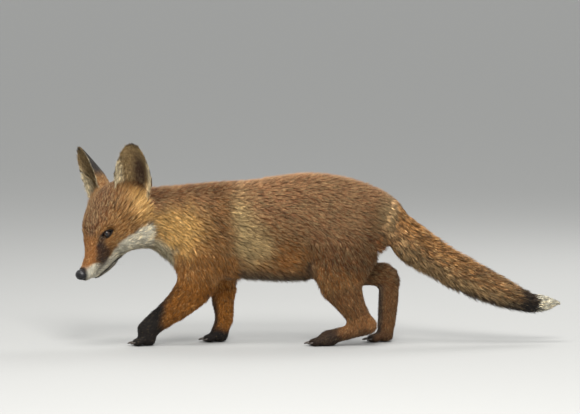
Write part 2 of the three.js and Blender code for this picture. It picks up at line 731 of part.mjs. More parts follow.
// A small piece is set in a socket cut for it, a gap wider all round.
function setInto(hosts, name, make, gap = GAP) {
  for (const host of hosts) solids.set(host, solids.get(host).subtract(make(gap)));
  solids.set(name, make(0));
}

for (const socket of bothSides(SOCKET)) {
  solids.set("head", solids.get("head").subtract(onHeadBall(socket, EYE_MESH)));
}
bothSides(eyeBall(EYE)).forEach((eye, i) => {
  setInto(["head"], ["eye_left", "eye_right"][i], (grow) => onHeadBall(eye, EYE_MESH, grow));
});
setInto(["muzzle"], "nose", (grow) => onHeadBall(NOSE, NOSE_MESH, grow));
for (const nostril of bothSides(NOSTRIL)) {
  solids.set("nose", solids.get("nose").subtract(onHeadBall(nostril, NOSTRIL_MESH)));
}
for (const [name, place] of Object.entries(EARS)) {
  setInto(["head", "neck"], name, (grow) => ear(place, grow), EAR_GAP);
}
for (const [leg, place] of Object.entries(PAWS)) {
  const paw = "paw_" + leg;
  const toes = toesOf(place);
  const joined = toes.reduce((rest, place) => rest.add(trimmed(toe(place), CUTS.sole, 1)), solids.get(paw));
  solids.set(paw, trimmed(joined, CUTS.sole, 1));
  toes.forEach((place, i) => setInto([paw], `claw_${leg}_${i + 1}`, (grow) => claw(place, grow)));
}
solids.set("foot_left", trimmed(solids.get("foot_left"), CUTS.sole, 1));

const fox = new THREE.Group();
for (const [name, solid] of solids) {
  const glossy = name === "nose" || name.startsWith("eye");
  const colour = name.startsWith("eye") ? BLACK_GLOSS : name.startsWith("claw") ? HORN : DARK;
  const coat = name.startsWith("ear") || name.startsWith("paw") ? DARK : RUSSET;
  const material = new THREE.MeshStandardMaterial({
    color: COLOURS[name] ?? (FLESH[name] ? coat : colour),
    roughness: glossy ? 0.15 : 0.9,
    metalness: 0,
  });
  const mesh = new THREE.Mesh(geometryOf(solid), material);
  mesh.name = name;
  fox.add(mesh);
}
const reach = new THREE.Box3().setFromObject(fox);
const middle = reach.getCenter(new THREE.Vector3());
fox.position.set(-middle.x, -middle.y, -reach.min.z);

export default fox;
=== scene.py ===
# %% [markdown]
# # A red fox cub, life size
# A still model of a cub of about fifteen weeks, walking with its head lowered. The solids of the fox
# come in as a fixed frame: they give its pose and its outline, out to the tips of the coat. Here it
# gets one skin, eyes with lids, a wet nose, claws, and a coat of many small solid tufts.
# The coat is what the eye reads first, so most of the work goes into where each tuft grows, which way
# it lies, how long it is and what colour it has from root to tip.

import math

import bpy
import numpy as np
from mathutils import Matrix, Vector
from mathutils.bvhtree import BVHTree
from mathutils.kdtree import KDTree


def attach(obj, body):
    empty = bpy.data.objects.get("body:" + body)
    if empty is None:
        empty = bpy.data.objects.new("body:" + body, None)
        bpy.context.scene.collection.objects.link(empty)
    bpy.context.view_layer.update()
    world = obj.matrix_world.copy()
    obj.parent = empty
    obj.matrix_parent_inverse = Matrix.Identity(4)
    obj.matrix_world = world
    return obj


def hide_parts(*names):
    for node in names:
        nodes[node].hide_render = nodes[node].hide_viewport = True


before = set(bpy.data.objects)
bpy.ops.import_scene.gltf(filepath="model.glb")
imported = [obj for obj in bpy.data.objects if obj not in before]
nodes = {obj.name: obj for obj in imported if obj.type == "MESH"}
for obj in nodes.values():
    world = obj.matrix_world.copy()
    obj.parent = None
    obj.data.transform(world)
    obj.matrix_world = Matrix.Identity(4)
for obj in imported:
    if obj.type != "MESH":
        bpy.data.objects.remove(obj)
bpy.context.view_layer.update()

# %% [markdown]
# ## Measures and directions
# Every place is counted in millimetres from the point on the floor under the middle of the body, with
# the fox facing -X, its left side towards -Y and +Z up. The frame's own middle lies a little to one
# side of that point, so one function turns a place into metres of the frame. The head is turned and
# lowered, so it has axes of its own: forward along the muzzle, to its left, and up through the crown.

# %% Measures and the head's axes
MM = 0.001
FRAME_MIDDLE = np.array([1.747, 9.195, 0.0])  # what the frame's places are ahead of ours, in mm


def unit(v):
    """The same directions with length one."""
    v = np.asarray(v, float)
    return v / np.maximum(np.linalg.norm(v, axis=-1, keepdims=True), 1e-9)


def in_frame(p):
    """Places in millimetres, as metres of the frame."""
    return (np.asarray(p, float) + FRAME_MIDDLE) * MM


def in_mm(p):
    """Places of the frame, as millimetres from the middle of the body."""
    return np.asarray(p, float) / MM - FRAME_MIDDLE


HEAD_AT = np.array([-323.0, -40.0, 164.0])  # midway between the eyeballs
HEAD_YAW, HEAD_PITCH, HEAD_ROLL = (math.radians(a) for a in (40, 50, 4))
forward = np.array(
    [
        -math.cos(HEAD_PITCH) * math.cos(HEAD_YAW),
        -math.cos(HEAD_PITCH) * math.sin(HEAD_YAW),
        -math.sin(HEAD_PITCH),
    ]
)
level_left = np.array([math.sin(HEAD_YAW), -math.cos(HEAD_YAW), 0.0])
left = level_left * math.cos(HEAD_ROLL) - np.cross(forward, level_left) * math.sin(HEAD_ROLL)
up = np.cross(forward, left)
HEAD_AXES = np.array([forward, left, up])


def on_head(p):
    """Places in millimetres along the head's own axes, from the point between the eyes."""
    return (np.asarray(p, float) - HEAD_AT) @ HEAD_AXES.T


def head_place(ahead, side, above):
    """A place on the head, in millimetres from the middle of the body."""
    return HEAD_AT + np.array([ahead, side, above], float) @ HEAD_AXES


print("the head looks along", forward.round(2))

# %% [markdown]
# ## Small helpers
# Operators act on whatever is selected, and the solids arrive selected, so each step first picks its
# own objects. A solid's mesh is a heap of loose triangles, so every copy of one is welded before it is
# shaped. Colours are written as the hex values that a screen shows, and one function turns them into
# the linear values that the renderer wants.

# %% Helpers for objects
WELD = 0.00001  # metres: corners of loose triangles that are nearer than this are one point


def pick(*objects):
    """Leaves just these objects selected, the first of them active."""
    bpy.ops.object.select_all(action="DESELECT")
    for piece in objects:
        piece.select_set(True)
    bpy.context.view_layer.objects.active = objects[0]


def new_object(name, data):
    """A new object in the scene, at the origin."""
    made = bpy.data.objects.new(name, data)
    bpy.context.scene.collection.objects.link(made)
    return made


def copy_of(solid, name):
    """A copy of one solid, to be shaped, without its material."""
    made = new_object(name, nodes[solid].data.copy())
    made.data.materials.clear()
    return made


def weld(piece):
    """Merges the loose triangles of a copied solid, and leaves all of it selected."""
    pick(piece)
    bpy.ops.object.mode_set(mode="EDIT")
    bpy.ops.mesh.select_all(action="SELECT")
    bpy.ops.mesh.remove_doubles(threshold=WELD)
    bpy.ops.object.mode_set(mode="OBJECT")


def apply_modifier(piece, name, kind, **settings):
    """Adds one modifier with its settings and applies it."""
    step = piece.modifiers.new(name, kind)
    for key, value in settings.items():
        setattr(step, key, value)
    bpy.ops.object.modifier_apply(modifier=name)


def points_of(piece):
    """A mesh's points as an array, in metres of the frame."""
    flat = np.empty(len(piece.data.vertices) * 3)
    piece.data.vertices.foreach_get("co", flat)
    return flat.reshape(-1, 3)


def set_points(piece, points):
    piece.data.vertices.foreach_set("co", np.ascontiguousarray(points, dtype=np.float32).ravel())
    piece.data.update()


def normals_of(piece):
    flat = np.empty(len(piece.data.vertices) * 3)
    piece.data.vertex_normals.foreach_get("vector", flat)
    return flat.reshape(-1, 3)


# %% Helpers for colours and materials


def linear(shown):
    """A hex colour as three linear values."""
    c = np.array([int(shown[i : i + 2], 16) for i in (1, 3, 5)]) / 255
    return np.where(c <= 0.04045, c / 12.92, ((c + 0.055) / 1.055) ** 2.4)


def rgba(shown):
    return (*linear(shown), 1.0)


def add_node(material, kind, links=(), stops=(), **settings):
    """One shader node: its settings, and links as (from socket, name of this node's socket).

    A colour ramp also takes its stops, as (position, hex colour)."""
    node = material.node_tree.nodes.new(kind)
    for k, (position, colour) in enumerate(stops):
        elements = node.color_ramp.elements
        stop = elements[k] if k < len(elements) else elements.new(position)
        stop.position, stop.color = position, rgba(colour)
    for key, value in settings.items():
        if hasattr(node, key):
            setattr(node, key, value)
        else:
            node.inputs[key.replace("_", " ")].default_value = value
    for source, target in links:
        material.node_tree.links.new(source, node.inputs[target])
    return node


def new_material(name):
    """A material with no nodes yet."""
    material = bpy.data.materials.new(name)
    material.use_nodes = True
    material.node_tree.nodes.clear()
    return material


def fade(x, start, end):
    """0 at the start, 1 at the end, smooth between."""
    t = np.clip((np.asarray(x, float) - start) / (end - start), 0, 1)
    return t * t * (3 - 2 * t)


# %% [markdown]
# ## The floor, the light and the camera
# A museum model is judged in plain light. The floor is one pale sheet, far larger than the fox, under
# an even pale sky, so that it looks the same from every side. A large soft lamp above stands for the
# brightest part of an overcast sky, a weaker one fills in from the front, and a third behind lets the
# guard hairs along the back catch some light.

# %% Floor
FLOOR_SIZE = 60  # metres: its far edge melts into the sky
bpy.ops.object.select_all(action="DESELECT")
bpy.ops.mesh.primitive_grid_add(x_subdivisions=8, y_subdivisions=8, size=FLOOR_SIZE, location=(0, 0, 0))
floor = bpy.context.object
floor.name = "floor"
paper = new_material("matt studio paper")
surface = add_node(paper, "ShaderNodeBsdfPrincipled", Base_Color=rgba("#9b9c9c"), Roughness=0.95)
add_node(paper, "ShaderNodeOutputMaterial", [(surface.outputs[0], "Surface")])
floor.data.materials.append(paper)
print("floor:", FLOOR_SIZE, "m square")

# %% Lamps and sky


def soft_lamp(name, place, size, watts, colour, aim=(0, 0, 0.15)):
    """A square lamp that looks at the fox."""
    data = bpy.data.lights.new(name, "AREA")
    data.size, data.energy, data.color = size, watts, colour
    lamp = new_object(name, data)
    lamp.location = place
    lamp.rotation_euler = (Vector(aim) - Vector(place)).to_track_quat("-Z", "Y").to_euler()
    print(name, watts, "W")


soft_lamp("sky lamp", (-0.35, -0.85, 2.2), 1.2, 38, (1.0, 0.975, 0.93))
soft_lamp("fill lamp", (0.2, -2.4, 1.8), 0.8, 76, (1.0, 0.975, 0.93))
soft_lamp("rim lamp", (0.9, 1.4, 1.7), 1.2, 24, (1.0, 0.98, 0.95))
sky = bpy.data.worlds.new("pale sky")
sky.use_nodes = True
sky.node_tree.nodes["Background"].inputs["Color"].default_value = rgba("#e9e9e7")
sky.node_tree.nodes["Background"].inputs["Strength"].default_value = 1.1
bpy.context.scene.world = sky
bpy.context.scene.view_settings.view_transform = "Standard"

# %% Camera
CAMERA_AIM = in_frame([-41.25, 0, 206.0])
CAMERA_AWAY = 7.0  # metres: a long lens from a distance, low over the ground
CAMERA_RISE = math.radians(4)
VIEW_WIDTH = 0.870  # metres that the picture spans at the fox
camera_data = bpy.data.cameras.new("camera")
camera_data.sensor_width = 36
camera_data.lens = camera_data.sensor_width * CAMERA_AWAY / VIEW_WIDTH
camera_data.clip_end = 30
camera = new_object("camera", camera_data)
camera.location = Vector(CAMERA_AIM) + Vector(
    (0, -CAMERA_AWAY * math.cos(CAMERA_RISE), CAMERA_AWAY * math.sin(CAMERA_RISE))
)
camera.rotation_euler = (math.pi / 2 - CAMERA_RISE, 0, 0)
bpy.context.scene.camera = camera
print("lens", round(camera_data.lens, 1), "mm from", CAMERA_AWAY, "m")

# %% [markdown]
# ## One skin
# On the real animal one skin runs from the lips to the tail, so no joint between the solids may show.
# The solids of flesh are copied, joined and remade by a voxel remesh, which fuses them into a closed
# shell and swallows the thin gaps between them. It also leaves one loose speck, under a millimetre
# across, in the coat of the right ear. The eyeballs and the nose pad are joined in as well, a little
# grown: over the eyes that makes closed lids, which are cut open later.

# %% Fuse the flesh
SIDES = ("left", "right")
PAWS = ("paw_front", "paw_hind")
FLESH = ["head", "muzzle", "lower_jaw", "neck", "chest", "belly", "hips"]
FLESH += ["tail_base", "tail_brush", "tail_tip"]
FLESH += [
    f"{part}_{side}"
    for part in ("ear", "upper_foreleg", "forearm", "thigh", "shank", "foot", *PAWS)
    for side in SIDES
]
SEALED = ["eye_left", "eye_right", "nose"]
OVERLAP = 0.0005  # metres that each copy is grown by, so that neighbours overlap
VOXEL = 0.0024  # metres: small enough that each toe stays a toe

copies = []
face_label, tree_points, tree_faces = [], [], []
for label, name in enumerate(FLESH + SEALED):
    piece = copy_of(name, "flesh")
    copies.append(piece)
    first = len(tree_points)
    tree_points.extend(v.co.copy() for v in piece.data.vertices)
    tree_faces.extend([first + i for i in face.vertices] for face in piece.data.polygons)
    face_label.extend([label] * len(piece.data.polygons))
face_label = np.array(face_label)
solid_tree = BVHTree.FromPolygons(tree_points, tree_faces)

pick(*copies)
bpy.ops.object.join()
skin = bpy.context.object
skin.name = "skin"
weld(skin)
bpy.ops.object.mode_set(mode="EDIT")
bpy.ops.transform.shrink_fatten(value=OVERLAP)
bpy.ops.object.mode_set(mode="OBJECT")
apply_modifier(skin, "fuse", "REMESH", mode="VOXEL", voxel_size=VOXEL)
print("fused:", len(skin.data.vertices), "points,", len(skin.data.polygons), "faces")

# %% [markdown]
# ## A finer mesh on the face
# The lids, the lips and the rim of the nose need smaller faces than the trunk does, so the faces round
# the eyes and on the muzzle are subdivided once more.

# %% Refine the face
EYE_RADIUS = 8.5  # mm
EYE_CENTRES = {"left": head_place(-2.5, 18.5, 9.5), "right": head_place(-2.5, -18.5, 9.5)}
ROUND_EYE = 14.5  # mm from an eye's middle that get smaller faces


def face_centres(piece):
    return in_mm(np.array([face.center for face in piece.data.polygons]))


spot = face_centres(skin)
ahead, side, above = on_head(spot).T
near_eye = np.min([np.linalg.norm(spot - c, axis=1) for c in EYE_CENTRES.values()], axis=0) < ROUND_EYE
on_muzzle = (ahead > 4) & (ahead < 80) & (above > -60) & (spot[:, 0] < -290) & (spot[:, 2] < 175)


def select_faces(piece, chosen):
    """Selects the faces that are marked True, and nothing else, and enters edit mode."""
    pick(piece)
    bpy.ops.object.mode_set(mode="EDIT")
    bpy.ops.mesh.select_mode(type="FACE")
    bpy.ops.mesh.select_all(action="DESELECT")
    bpy.ops.object.mode_set(mode="OBJECT")
    piece.data.polygons.foreach_set("select", np.asarray(chosen, dtype=bool))
    bpy.ops.object.mode_set(mode="EDIT")


select_faces(skin, near_eye | on_muzzle)
bpy.ops.mesh.subdivide(number_cuts=1)
bpy.ops.mesh.select_all(action="DESELECT")
bpy.ops.object.mode_set(mode="OBJECT")
print("refined:", len(skin.data.vertices), "points")

# %% [markdown]
# ## Fields over the skin
# Depth of coat, length of hair and lie of the hair all change slowly over the body. Each is given one
# value per part of the body, then blurred over the mesh from neighbour to neighbour until no step is
# left. This is quicker to set up than painting, and it is the same on every run.

# %% Neighbours, labels and blurring
POINTS = len(skin.data.vertices)
edge_ends = np.empty(len(skin.data.edges) * 2, dtype=np.int64)
skin.data.edges.foreach_get("vertices", edge_ends)
edge_a, edge_b = edge_ends.reshape(-1, 2).T
neighbours = np.bincount(edge_a, minlength=POINTS) + np.bincount(edge_b, minlength=POINTS)


def blurred(values, rounds):
    """Each point's value mixed with its neighbours', over and over."""
    columns = np.array(values, float).reshape(POINTS, -1)
    for _ in range(rounds):
        for k in range(columns.shape[1]):
            c = columns[:, k]
            around = np.bincount(edge_a, c[edge_b], POINTS) + np.bincount(edge_b, c[edge_a], POINTS)
            columns[:, k] = 0.5 * c + 0.5 * around / neighbours
    return columns.reshape(np.shape(values))


PARTS = np.array(FLESH + SEALED)


def parts_near(points):
    """The name of the solid that is nearest to each of these points of the frame."""
    return PARTS[[face_label[solid_tree.find_nearest(Vector(p))[2]] for p in points]]


part = parts_near(points_of(skin))
print("points on each part:", dict(zip(*np.unique(part, return_counts=True))))


def kind_of(name):
    """A part's name without its side."""
    return name.replace("_left", "").replace("_right", "")


def per_part(table):
    """A value for each point of the skin, from a table of parts' names without their side."""
    values = {name: table[kind_of(name)] for name in PARTS}
    return np.array([values[name] for name in part], float)


# %% [markdown]
# ## Under the coat
# The solids reach to the tips of the coat, and the skin lies deeper: a couple of millimetres on the
# face and feet, most of a centimetre on the trunk, and in the tail, which is mostly hair, nearly half
# of its thickness. The skin is moved in along its normals by that depth, and the tail is drawn towards
# the line that its bones follow.

# %% Draw the skin in by the coat's depth
COAT_DEPTH = {  # mm
    "head": 2.4, "muzzle": 1.0, "lower_jaw": 1.0, "neck": 6.5, "chest": 6.0, "belly": 6.0,
    "hips": 6.0, "tail_base": 4.5, "tail_brush": 3, "tail_tip": 1, "ear": 0.9,
    "upper_foreleg": 4, "forearm": 2.2, "thigh": 4.6, "shank": 2.6, "foot": 1.8,
    "paw_front": 1.2, "paw_hind": 1.2, "eye": 0, "nose": 1.6,
}  # fmt: skip
TAIL_CORE = np.array([  # the line of the tail's bones, from its root to past its tip
    [98, 0, 194], [122, 0, 171.5], [146, 0, 150.5], [193, 1, 119], [230, 3, 99],
    [275, 6, 78], [310, 9, 64], [335, 11, 60.5], [345, 11.5, 60], [366, 12, 58.5],
])  # fmt: skip
TAIL_SHRINK = 0.34  # how far towards the bones the tail's skin is drawn
BARE_EYE, BARE_FADE = 9.6, 5  # mm from an eye's middle with no coat, and over which it deepens


def tail_core(x):
    """The tail's core line at these places along the body."""
    return np.stack([np.interp(x, TAIL_CORE[:, 0], TAIL_CORE[:, k]) for k in range(3)], -1)


def tail_way(x):
    """The way that the tail runs at these places along the body."""
    x = np.clip(x, 100, 335)
    return unit(tail_core(x + 8) - tail_core(x - 8))


places = in_mm(points_of(skin))
coat_outside = places.copy()
depth = blurred(per_part(COAT_DEPTH), 14)
for centre in EYE_CENTRES.values():
    depth *= np.clip((np.linalg.norm(places - centre, axis=1) - BARE_EYE) / BARE_FADE, 0, 1)
in_tail = blurred(np.char.startswith(part, "tail").astype(float), 8) * fade(places[:, 0], 92, 205)
places = places - normals_of(skin) * depth[:, None]
places = places + (tail_core(places[:, 0]) - places) * (TAIL_SHRINK * in_tail)[:, None]
is_ear = np.char.startswith(part, "ear")
is_face = np.char.startswith(part, "eye") | np.isin(part, ("muzzle", "lower_jaw", "nose"))
calm = blurred(np.where(is_ear, 0.3, np.where(is_face, 0.6, 1.0)), 3)[:, None]
places = places + (blurred(places, 6) - places) * calm
print("coat depth from", depth.min().round(1), "to", depth.max().round(1), "mm")

# %% [markdown]
# ## Lips
# A fox's mouth is a long dark line that rises from under the nose towards the cheek. It is pressed
# into the skin as a groove: each point near the plane between the lips moves in, the more the nearer
# it lies to that plane.

# %% Press in the line of the mouth
MOUTH_AT, MOUTH_FACES = head_place(30, 0, -33), np.array([0.175, 0, -1]) @ HEAD_AXES
MOUTH_CORNER = 7  # mm ahead of the eyes, where the mouth ends
LIP_DEPTH, LIP_WIDTH = 1.6, 1.1  # mm


def off_mouth(p):
    """How far above (-) or below (+) the line of the mouth these places are, in mm."""
    return (p - MOUTH_AT) @ unit(MOUTH_FACES)


set_points(skin, in_frame(places))
on_lips = np.exp(-((off_mouth(places) / LIP_WIDTH) ** 2))
on_lips *= fade(on_head(places)[:, 0], MOUTH_CORNER - 3, MOUTH_CORNER + 4)
on_lips *= np.isin(part, ("muzzle", "lower_jaw", "head"))
places = places - normals_of(skin) * (LIP_DEPTH * on_lips)[:, None]
print("points in the lips' groove:", int((on_lips > 0.5).sum()))

# %% [markdown]
# ## Eyelids
# The skin now covers each eye like a shut lid. A fox's eye opens as a slanting almond whose inner
# corner points down the muzzle. Faces inside the almond are deleted, the edge that is left is drawn
# onto the almond's outline, and then it is extruded in to the eyeball, which gives the lids their
# thickness. A crease is pressed in above the upper lid.

# %% Round the lids and press in a crease
GAZE = unit([0.5, 0.78, 0.38])  # on the head: ahead, to its own side, up
SLIT = np.array([-0.85, 0.5, -0.17])  # towards the outer corner
HALF_LENGTH, UPPER, LOWER = 8.0, 4.9, 4.4  # mm, of the opening
CORNER = 1.35  # 2 gives an ellipse, 1 a diamond
DARK_RIM, RIM_ABOVE = 4.2, 0.42  # mm that the dark rim adds at a corner, its share above and below
LID_SHELL, LID_EDGE = 9.2, 8.25  # mm from the eye's middle to the lids' outside and inner edge
CREASE_UP, CREASE_WIDTH, CREASE_DEPTH = 3.1, 0.9, 0.8  # mm, up from the opening's edge
BROW_UP, BROW_WIDTH, BROW_RISE = 5.6, 1.8, 0.7


def eye_axes(which):
    """Gaze, outer corner and up of one eye, as directions of the body."""
    mirror = np.array([1, 1 if which == "left" else -1, 1])
    gaze = unit(GAZE * mirror @ HEAD_AXES)
    outer = SLIT * mirror @ HEAD_AXES
    outer = unit(outer - gaze * (outer @ gaze))
    above = np.cross(gaze, outer)
    return gaze, outer, above if above @ up > 0 else -above


def opening(angle, rim=0.0):
    """How far from its middle the almond's outline lies at this angle, in mm, or its dark rim's."""
    c, s = np.abs(np.cos(angle)), np.abs(np.sin(angle))
    height = np.where(np.sin(angle) > 0, UPPER, LOWER) + RIM_ABOVE * rim
    return ((c / (HALF_LENGTH + rim)) ** CORNER + (s / height) ** CORNER) ** (-1 / CORNER)


def seen_by_eye(p, which):
    """Places round an eye as: away from its middle, along the slit, above it, along the gaze."""
    rel = p - EYE_CENTRES[which]
    gaze, outer, above = eye_axes(which)
    return np.linalg.norm(rel, axis=-1), rel @ outer, rel @ above, rel @ gaze


def beyond_opening(x, y, rim=0.0):
    """How far outside the almond, or its dark rim, places along and above the slit are, in mm."""
    return np.hypot(x, y) - opening(np.arctan2(y, x), rim)


for which in SIDES:
    away, x, y, z = seen_by_eye(places, which)
    facing = (z > 2) & (away < 16)
    beyond = beyond_opening(x, y)
    shell = np.clip(LID_SHELL - away, 0, None) * facing
    places = places + unit(places - EYE_CENTRES[which]) * shell[:, None]
    crease = np.exp(-(((beyond - CREASE_UP) / CREASE_WIDTH) ** 2)) * fade(away, 13, 10)
    brow = np.exp(-(((beyond - BROW_UP) / BROW_WIDTH) ** 2)) * fade(away, 16, 11)
    lift = (BROW_RISE * brow - CREASE_DEPTH * crease) * facing * (y > 0)
    places = places + unit(places - EYE_CENTRES[which]) * lift[:, None]
set_points(skin, in_frame(places))

# %% Cut the lids open
INNER_EDGE = 0.96  # size of the opening at the lids' inner edge
full_skin = skin.copy()  # kept closed, for the coat to grow on
full_skin.data = skin.data.copy()
covering = np.zeros(len(skin.data.polygons), bool)
for which in SIDES:
    away, x, y, z = seen_by_eye(face_centres(skin), which)
    covering |= (z > 3) & (away < 12) & (beyond_opening(x, y) < 0)
select_faces(skin, covering)
bpy.ops.mesh.delete(type="FACE")
bpy.ops.mesh.select_mode(type="EDGE")
bpy.ops.mesh.select_non_manifold(extend=False)
bpy.ops.object.mode_set(mode="OBJECT")
rim = np.array([v.select for v in skin.data.vertices])


def rim_to_almond(chosen, scale, distance):
    """Moves the chosen points to the almond's outline, at this distance from the eye's middle."""
    p = in_mm(points_of(skin))
    for which in SIDES:
        away, x, y = seen_by_eye(p, which)[:3]
        mine = chosen & (away < 14)
        angle = np.arctan2(y[mine], x[mine])
        reach = opening(angle) * scale
        gaze, outer, above = eye_axes(which)
        lift = np.sqrt(distance**2 - reach**2)
        p[mine] = (
            EYE_CENTRES[which]
            + (reach * np.cos(angle))[:, None] * outer
            + (reach * np.sin(angle))[:, None] * above
            + lift[:, None] * gaze
        )
    set_points(skin, in_frame(p))


rim_to_almond(rim, 1.0, LID_SHELL)
bpy.ops.object.mode_set(mode="EDIT")
bpy.ops.mesh.extrude_edges_move()
bpy.ops.object.mode_set(mode="OBJECT")
rim_to_almond(np.array([v.select for v in skin.data.vertices]), INNER_EDGE, LID_EDGE)
bpy.ops.object.mode_set(mode="EDIT")
bpy.ops.mesh.select_all(action="DESELECT")
bpy.ops.object.mode_set(mode="OBJECT")
bpy.ops.object.shade_smooth()
print("points on the lids' edges:", int(rim.sum()))

# %% [markdown]
# ## Eyeballs
# Each eye is a dark, wet ball with a slightly raised cornea. A ball from the sphere primitive is
# turned so that its pole looks out along the gaze, its front is pushed out a little, and every point
# keeps its place across and up the eye in an attribute. The material draws the upright slit of the
# pupil, the brown iris and the dark edge round it from that attribute.

# %% Make the eyeballs
CORNEA_RISE, CORNEA_REACH = 0.6, 5.6  # mm
EYE_GAP = 0.15  # mm between an eyeball and the solid's own size

eyeballs = {}
for which in SIDES:
    gaze, outer, above = eye_axes(which)
    bpy.ops.object.select_all(action="DESELECT")
    bpy.ops.mesh.primitive_uv_sphere_add(
        segments=48,
        ring_count=32,
        radius=(EYE_RADIUS - EYE_GAP) * MM,
        location=in_frame(EYE_CENTRES[which]),
        rotation=Vector(gaze).to_track_quat("Z", "Y").to_euler(),
    )
    ball = bpy.context.object
    ball.name = f"eyeball_{which}"
    bpy.ops.object.transform_apply(location=True, rotation=True, scale=True)
    p = in_mm(points_of(ball))
    away, x, y, z = seen_by_eye(p, which)
    bulge = (z > 0) * CORNEA_RISE * fade(np.hypot(x, y), CORNEA_REACH, CORNEA_REACH * 0.4)
    set_points(ball, in_frame(p + gaze * bulge[:, None]))
    place = ball.data.attributes.new("place_on_eye", "FLOAT_VECTOR", "POINT")
    place.data.foreach_set("vector", np.stack([x, y, z], -1).astype(np.float32).ravel())
    bpy.ops.object.shade_smooth()
    eyeballs[which] = ball
    print(ball.name, "looks along", gaze.round(2))

# %% Eye material: a wet dark-brown eye with an upright slit
wet_eye = new_material("wet fox eye")
place = add_node(wet_eye, "ShaderNodeAttribute", attribute_name="place_on_eye").outputs["Vector"]


def stretched(material, vector, scale):
    """The length of a vector whose parts are first multiplied by a scale."""
    scaled = add_node(material, "ShaderNodeVectorMath", [(vector, 0)], operation="MULTIPLY")
    scaled.inputs[1].default_value = scale
    size = add_node(material, "ShaderNodeVectorMath", [(scaled.outputs[0], 0)], operation="LENGTH")
    return size.outputs["Value"]


PUPIL_HALF_WIDTH, PUPIL_HALF_HEIGHT = 2.2, 4.2  # mm
from_middle = stretched(wet_eye, place, (1 / EYE_RADIUS, 1 / EYE_RADIUS, 0))
iris = add_node(
    wet_eye,
    "ShaderNodeValToRGB",
    [(from_middle, "Fac")],
    [(0.12, "#3a2010"), (0.4, "#2a170a"), (0.58, "#150b06"), (0.66, "#070504"), (0.9, "#0f0a08")],
)
fibres = add_node(wet_eye, "ShaderNodeTexNoise", [(place, "Vector")], Scale=1.6, Detail=4.0)
fibred = add_node(
    wet_eye,
    "ShaderNodeMix",
    [(fibres.outputs["Color"], 7), (iris.outputs["Color"], 6)],
    data_type="RGBA",
    blend_type="OVERLAY",
)
off_slit = stretched(wet_eye, place, (1 / PUPIL_HALF_WIDTH, 1 / PUPIL_HALF_HEIGHT, 0))
slit = add_node(
    wet_eye, "ShaderNodeValToRGB", [(off_slit, "Fac")], [(0.8, "#000000"), (1.0, "#ffffff")]
)
pupil = add_node(
    wet_eye,
    "ShaderNodeMix",
    [(fibred.outputs[2], 6), (slit.outputs["Color"], 7)],
    data_type="RGBA",
    blend_type="MULTIPLY",
)
pupil.inputs[0].default_value = 1.0
surface = add_node(
    wet_eye,
    "ShaderNodeBsdfPrincipled",
    [(pupil.outputs[2], "Base Color")],
    Roughness=0.3,
    Specular_IOR_Level=0.1,
    Coat_Weight=1.0,
    Coat_Roughness=0.03,
)
add_node(wet_eye, "ShaderNodeOutputMaterial", [(surface.outputs[0], "Surface")])
for which, ball in eyeballs.items():
    ball.data.materials.append(wet_eye)
    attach(ball, "root")
    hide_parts(f"eye_{which}")

# %% [markdown]
# ## Nose pad
# The pad is bare, damp, pebbled leather, nearly black. The solid gives its size and the two nostrils.
# A copy is remade with small faces and smoothed, a shallow groove is pressed down its middle, and the
# pebbles are bump from a cell pattern of about 0.8 mm.

# %% Shape the nose
PHILTRUM_DEPTH, PHILTRUM_WIDTH = 0.8, 0.7  # mm
nose = copy_of("nose", "nose_pad")
weld(nose)
apply_modifier(nose, "small faces", "REMESH", mode="VOXEL", voxel_size=0.5 * MM)
apply_modifier(nose, "soften", "SMOOTH", factor=0.5, iterations=12)
p = in_mm(points_of(nose))
ahead, side, above = on_head(p).T
groove = np.exp(-((side / PHILTRUM_WIDTH) ** 2)) * fade(ahead, 67, 71) * fade(above, -3, -7)
set_points(nose, in_frame(p - normals_of(nose) * (PHILTRUM_DEPTH * groove)[:, None]))
bpy.ops.object.shade_smooth()
print("nose pad faces:", len(nose.data.polygons))

# %% Nose material: damp pebbled leather
damp_leather = new_material("damp pebbled nose leather")
PEBBLES, PATCHES = 1300.0, 180.0  # in a metre: pebbles of 0.8 mm, damper patches of 5.5 mm
here = add_node(damp_leather, "ShaderNodeTexCoord").outputs["Object"]
pebbles = add_node(
    damp_leather, "ShaderNodeTexVoronoi", [(here, "Vector")], Scale=PEBBLES, feature="SMOOTH_F1"
)
mottle = add_node(damp_leather, "ShaderNodeTexNoise", [(here, "Vector")], Scale=PATCHES, Detail=3.0)
tone = add_node(
    damp_leather,
    "ShaderNodeValToRGB",
    [(mottle.outputs["Fac"], "Fac")],
    [(0.35, "#08080a"), (0.7, "#141317")],
)
damp = add_node(
    damp_leather, "ShaderNodeMapRange", [(mottle.outputs["Fac"], "Value")], To_Min=0.28, To_Max=0.5
)
bump = add_node(
    damp_leather,
    "ShaderNodeBump",
    [(pebbles.outputs["Distance"], "Height")],
    Strength=0.5,
    Distance=0.00025,
)
surface = add_node(
    damp_leather,
    "ShaderNodeBsdfPrincipled",
    [(tone.outputs[0], "Base Color"), (damp.outputs[0], "Roughness"), (bump.outputs[0], "Normal")],
    Specular_IOR_Level=0.35,
    Coat_Weight=0.15,
    Coat_Roughness=0.22,
)
add_node(damp_leather, "ShaderNodeOutputMaterial", [(surface.outputs[0], "Surface")])
nose.data.materials.append(damp_leather)
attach(nose, "root")
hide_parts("nose")

# %% [markdown]
# ## Claws
# A cub's claws are dark horn, streaked with brown. The solids already have the right curve, so each
# is copied, its loose faces are merged, and one level of subdivision rounds it off.

# %% Round off the claws
claw_nodes = sorted(name for name in nodes if name.startswith("claw_"))
pick(*[copy_of(name, "claw") for name in claw_nodes])
bpy.ops.object.join()
claws = bpy.context.object
claws.name = "claws"
weld(claws)
bpy.ops.object.mode_set(mode="EDIT")
bpy.ops.mesh.subdivide(number_cuts=1, smoothness=0.8)
bpy.ops.object.mode_set(mode="OBJECT")
bpy.ops.object.shade_smooth()

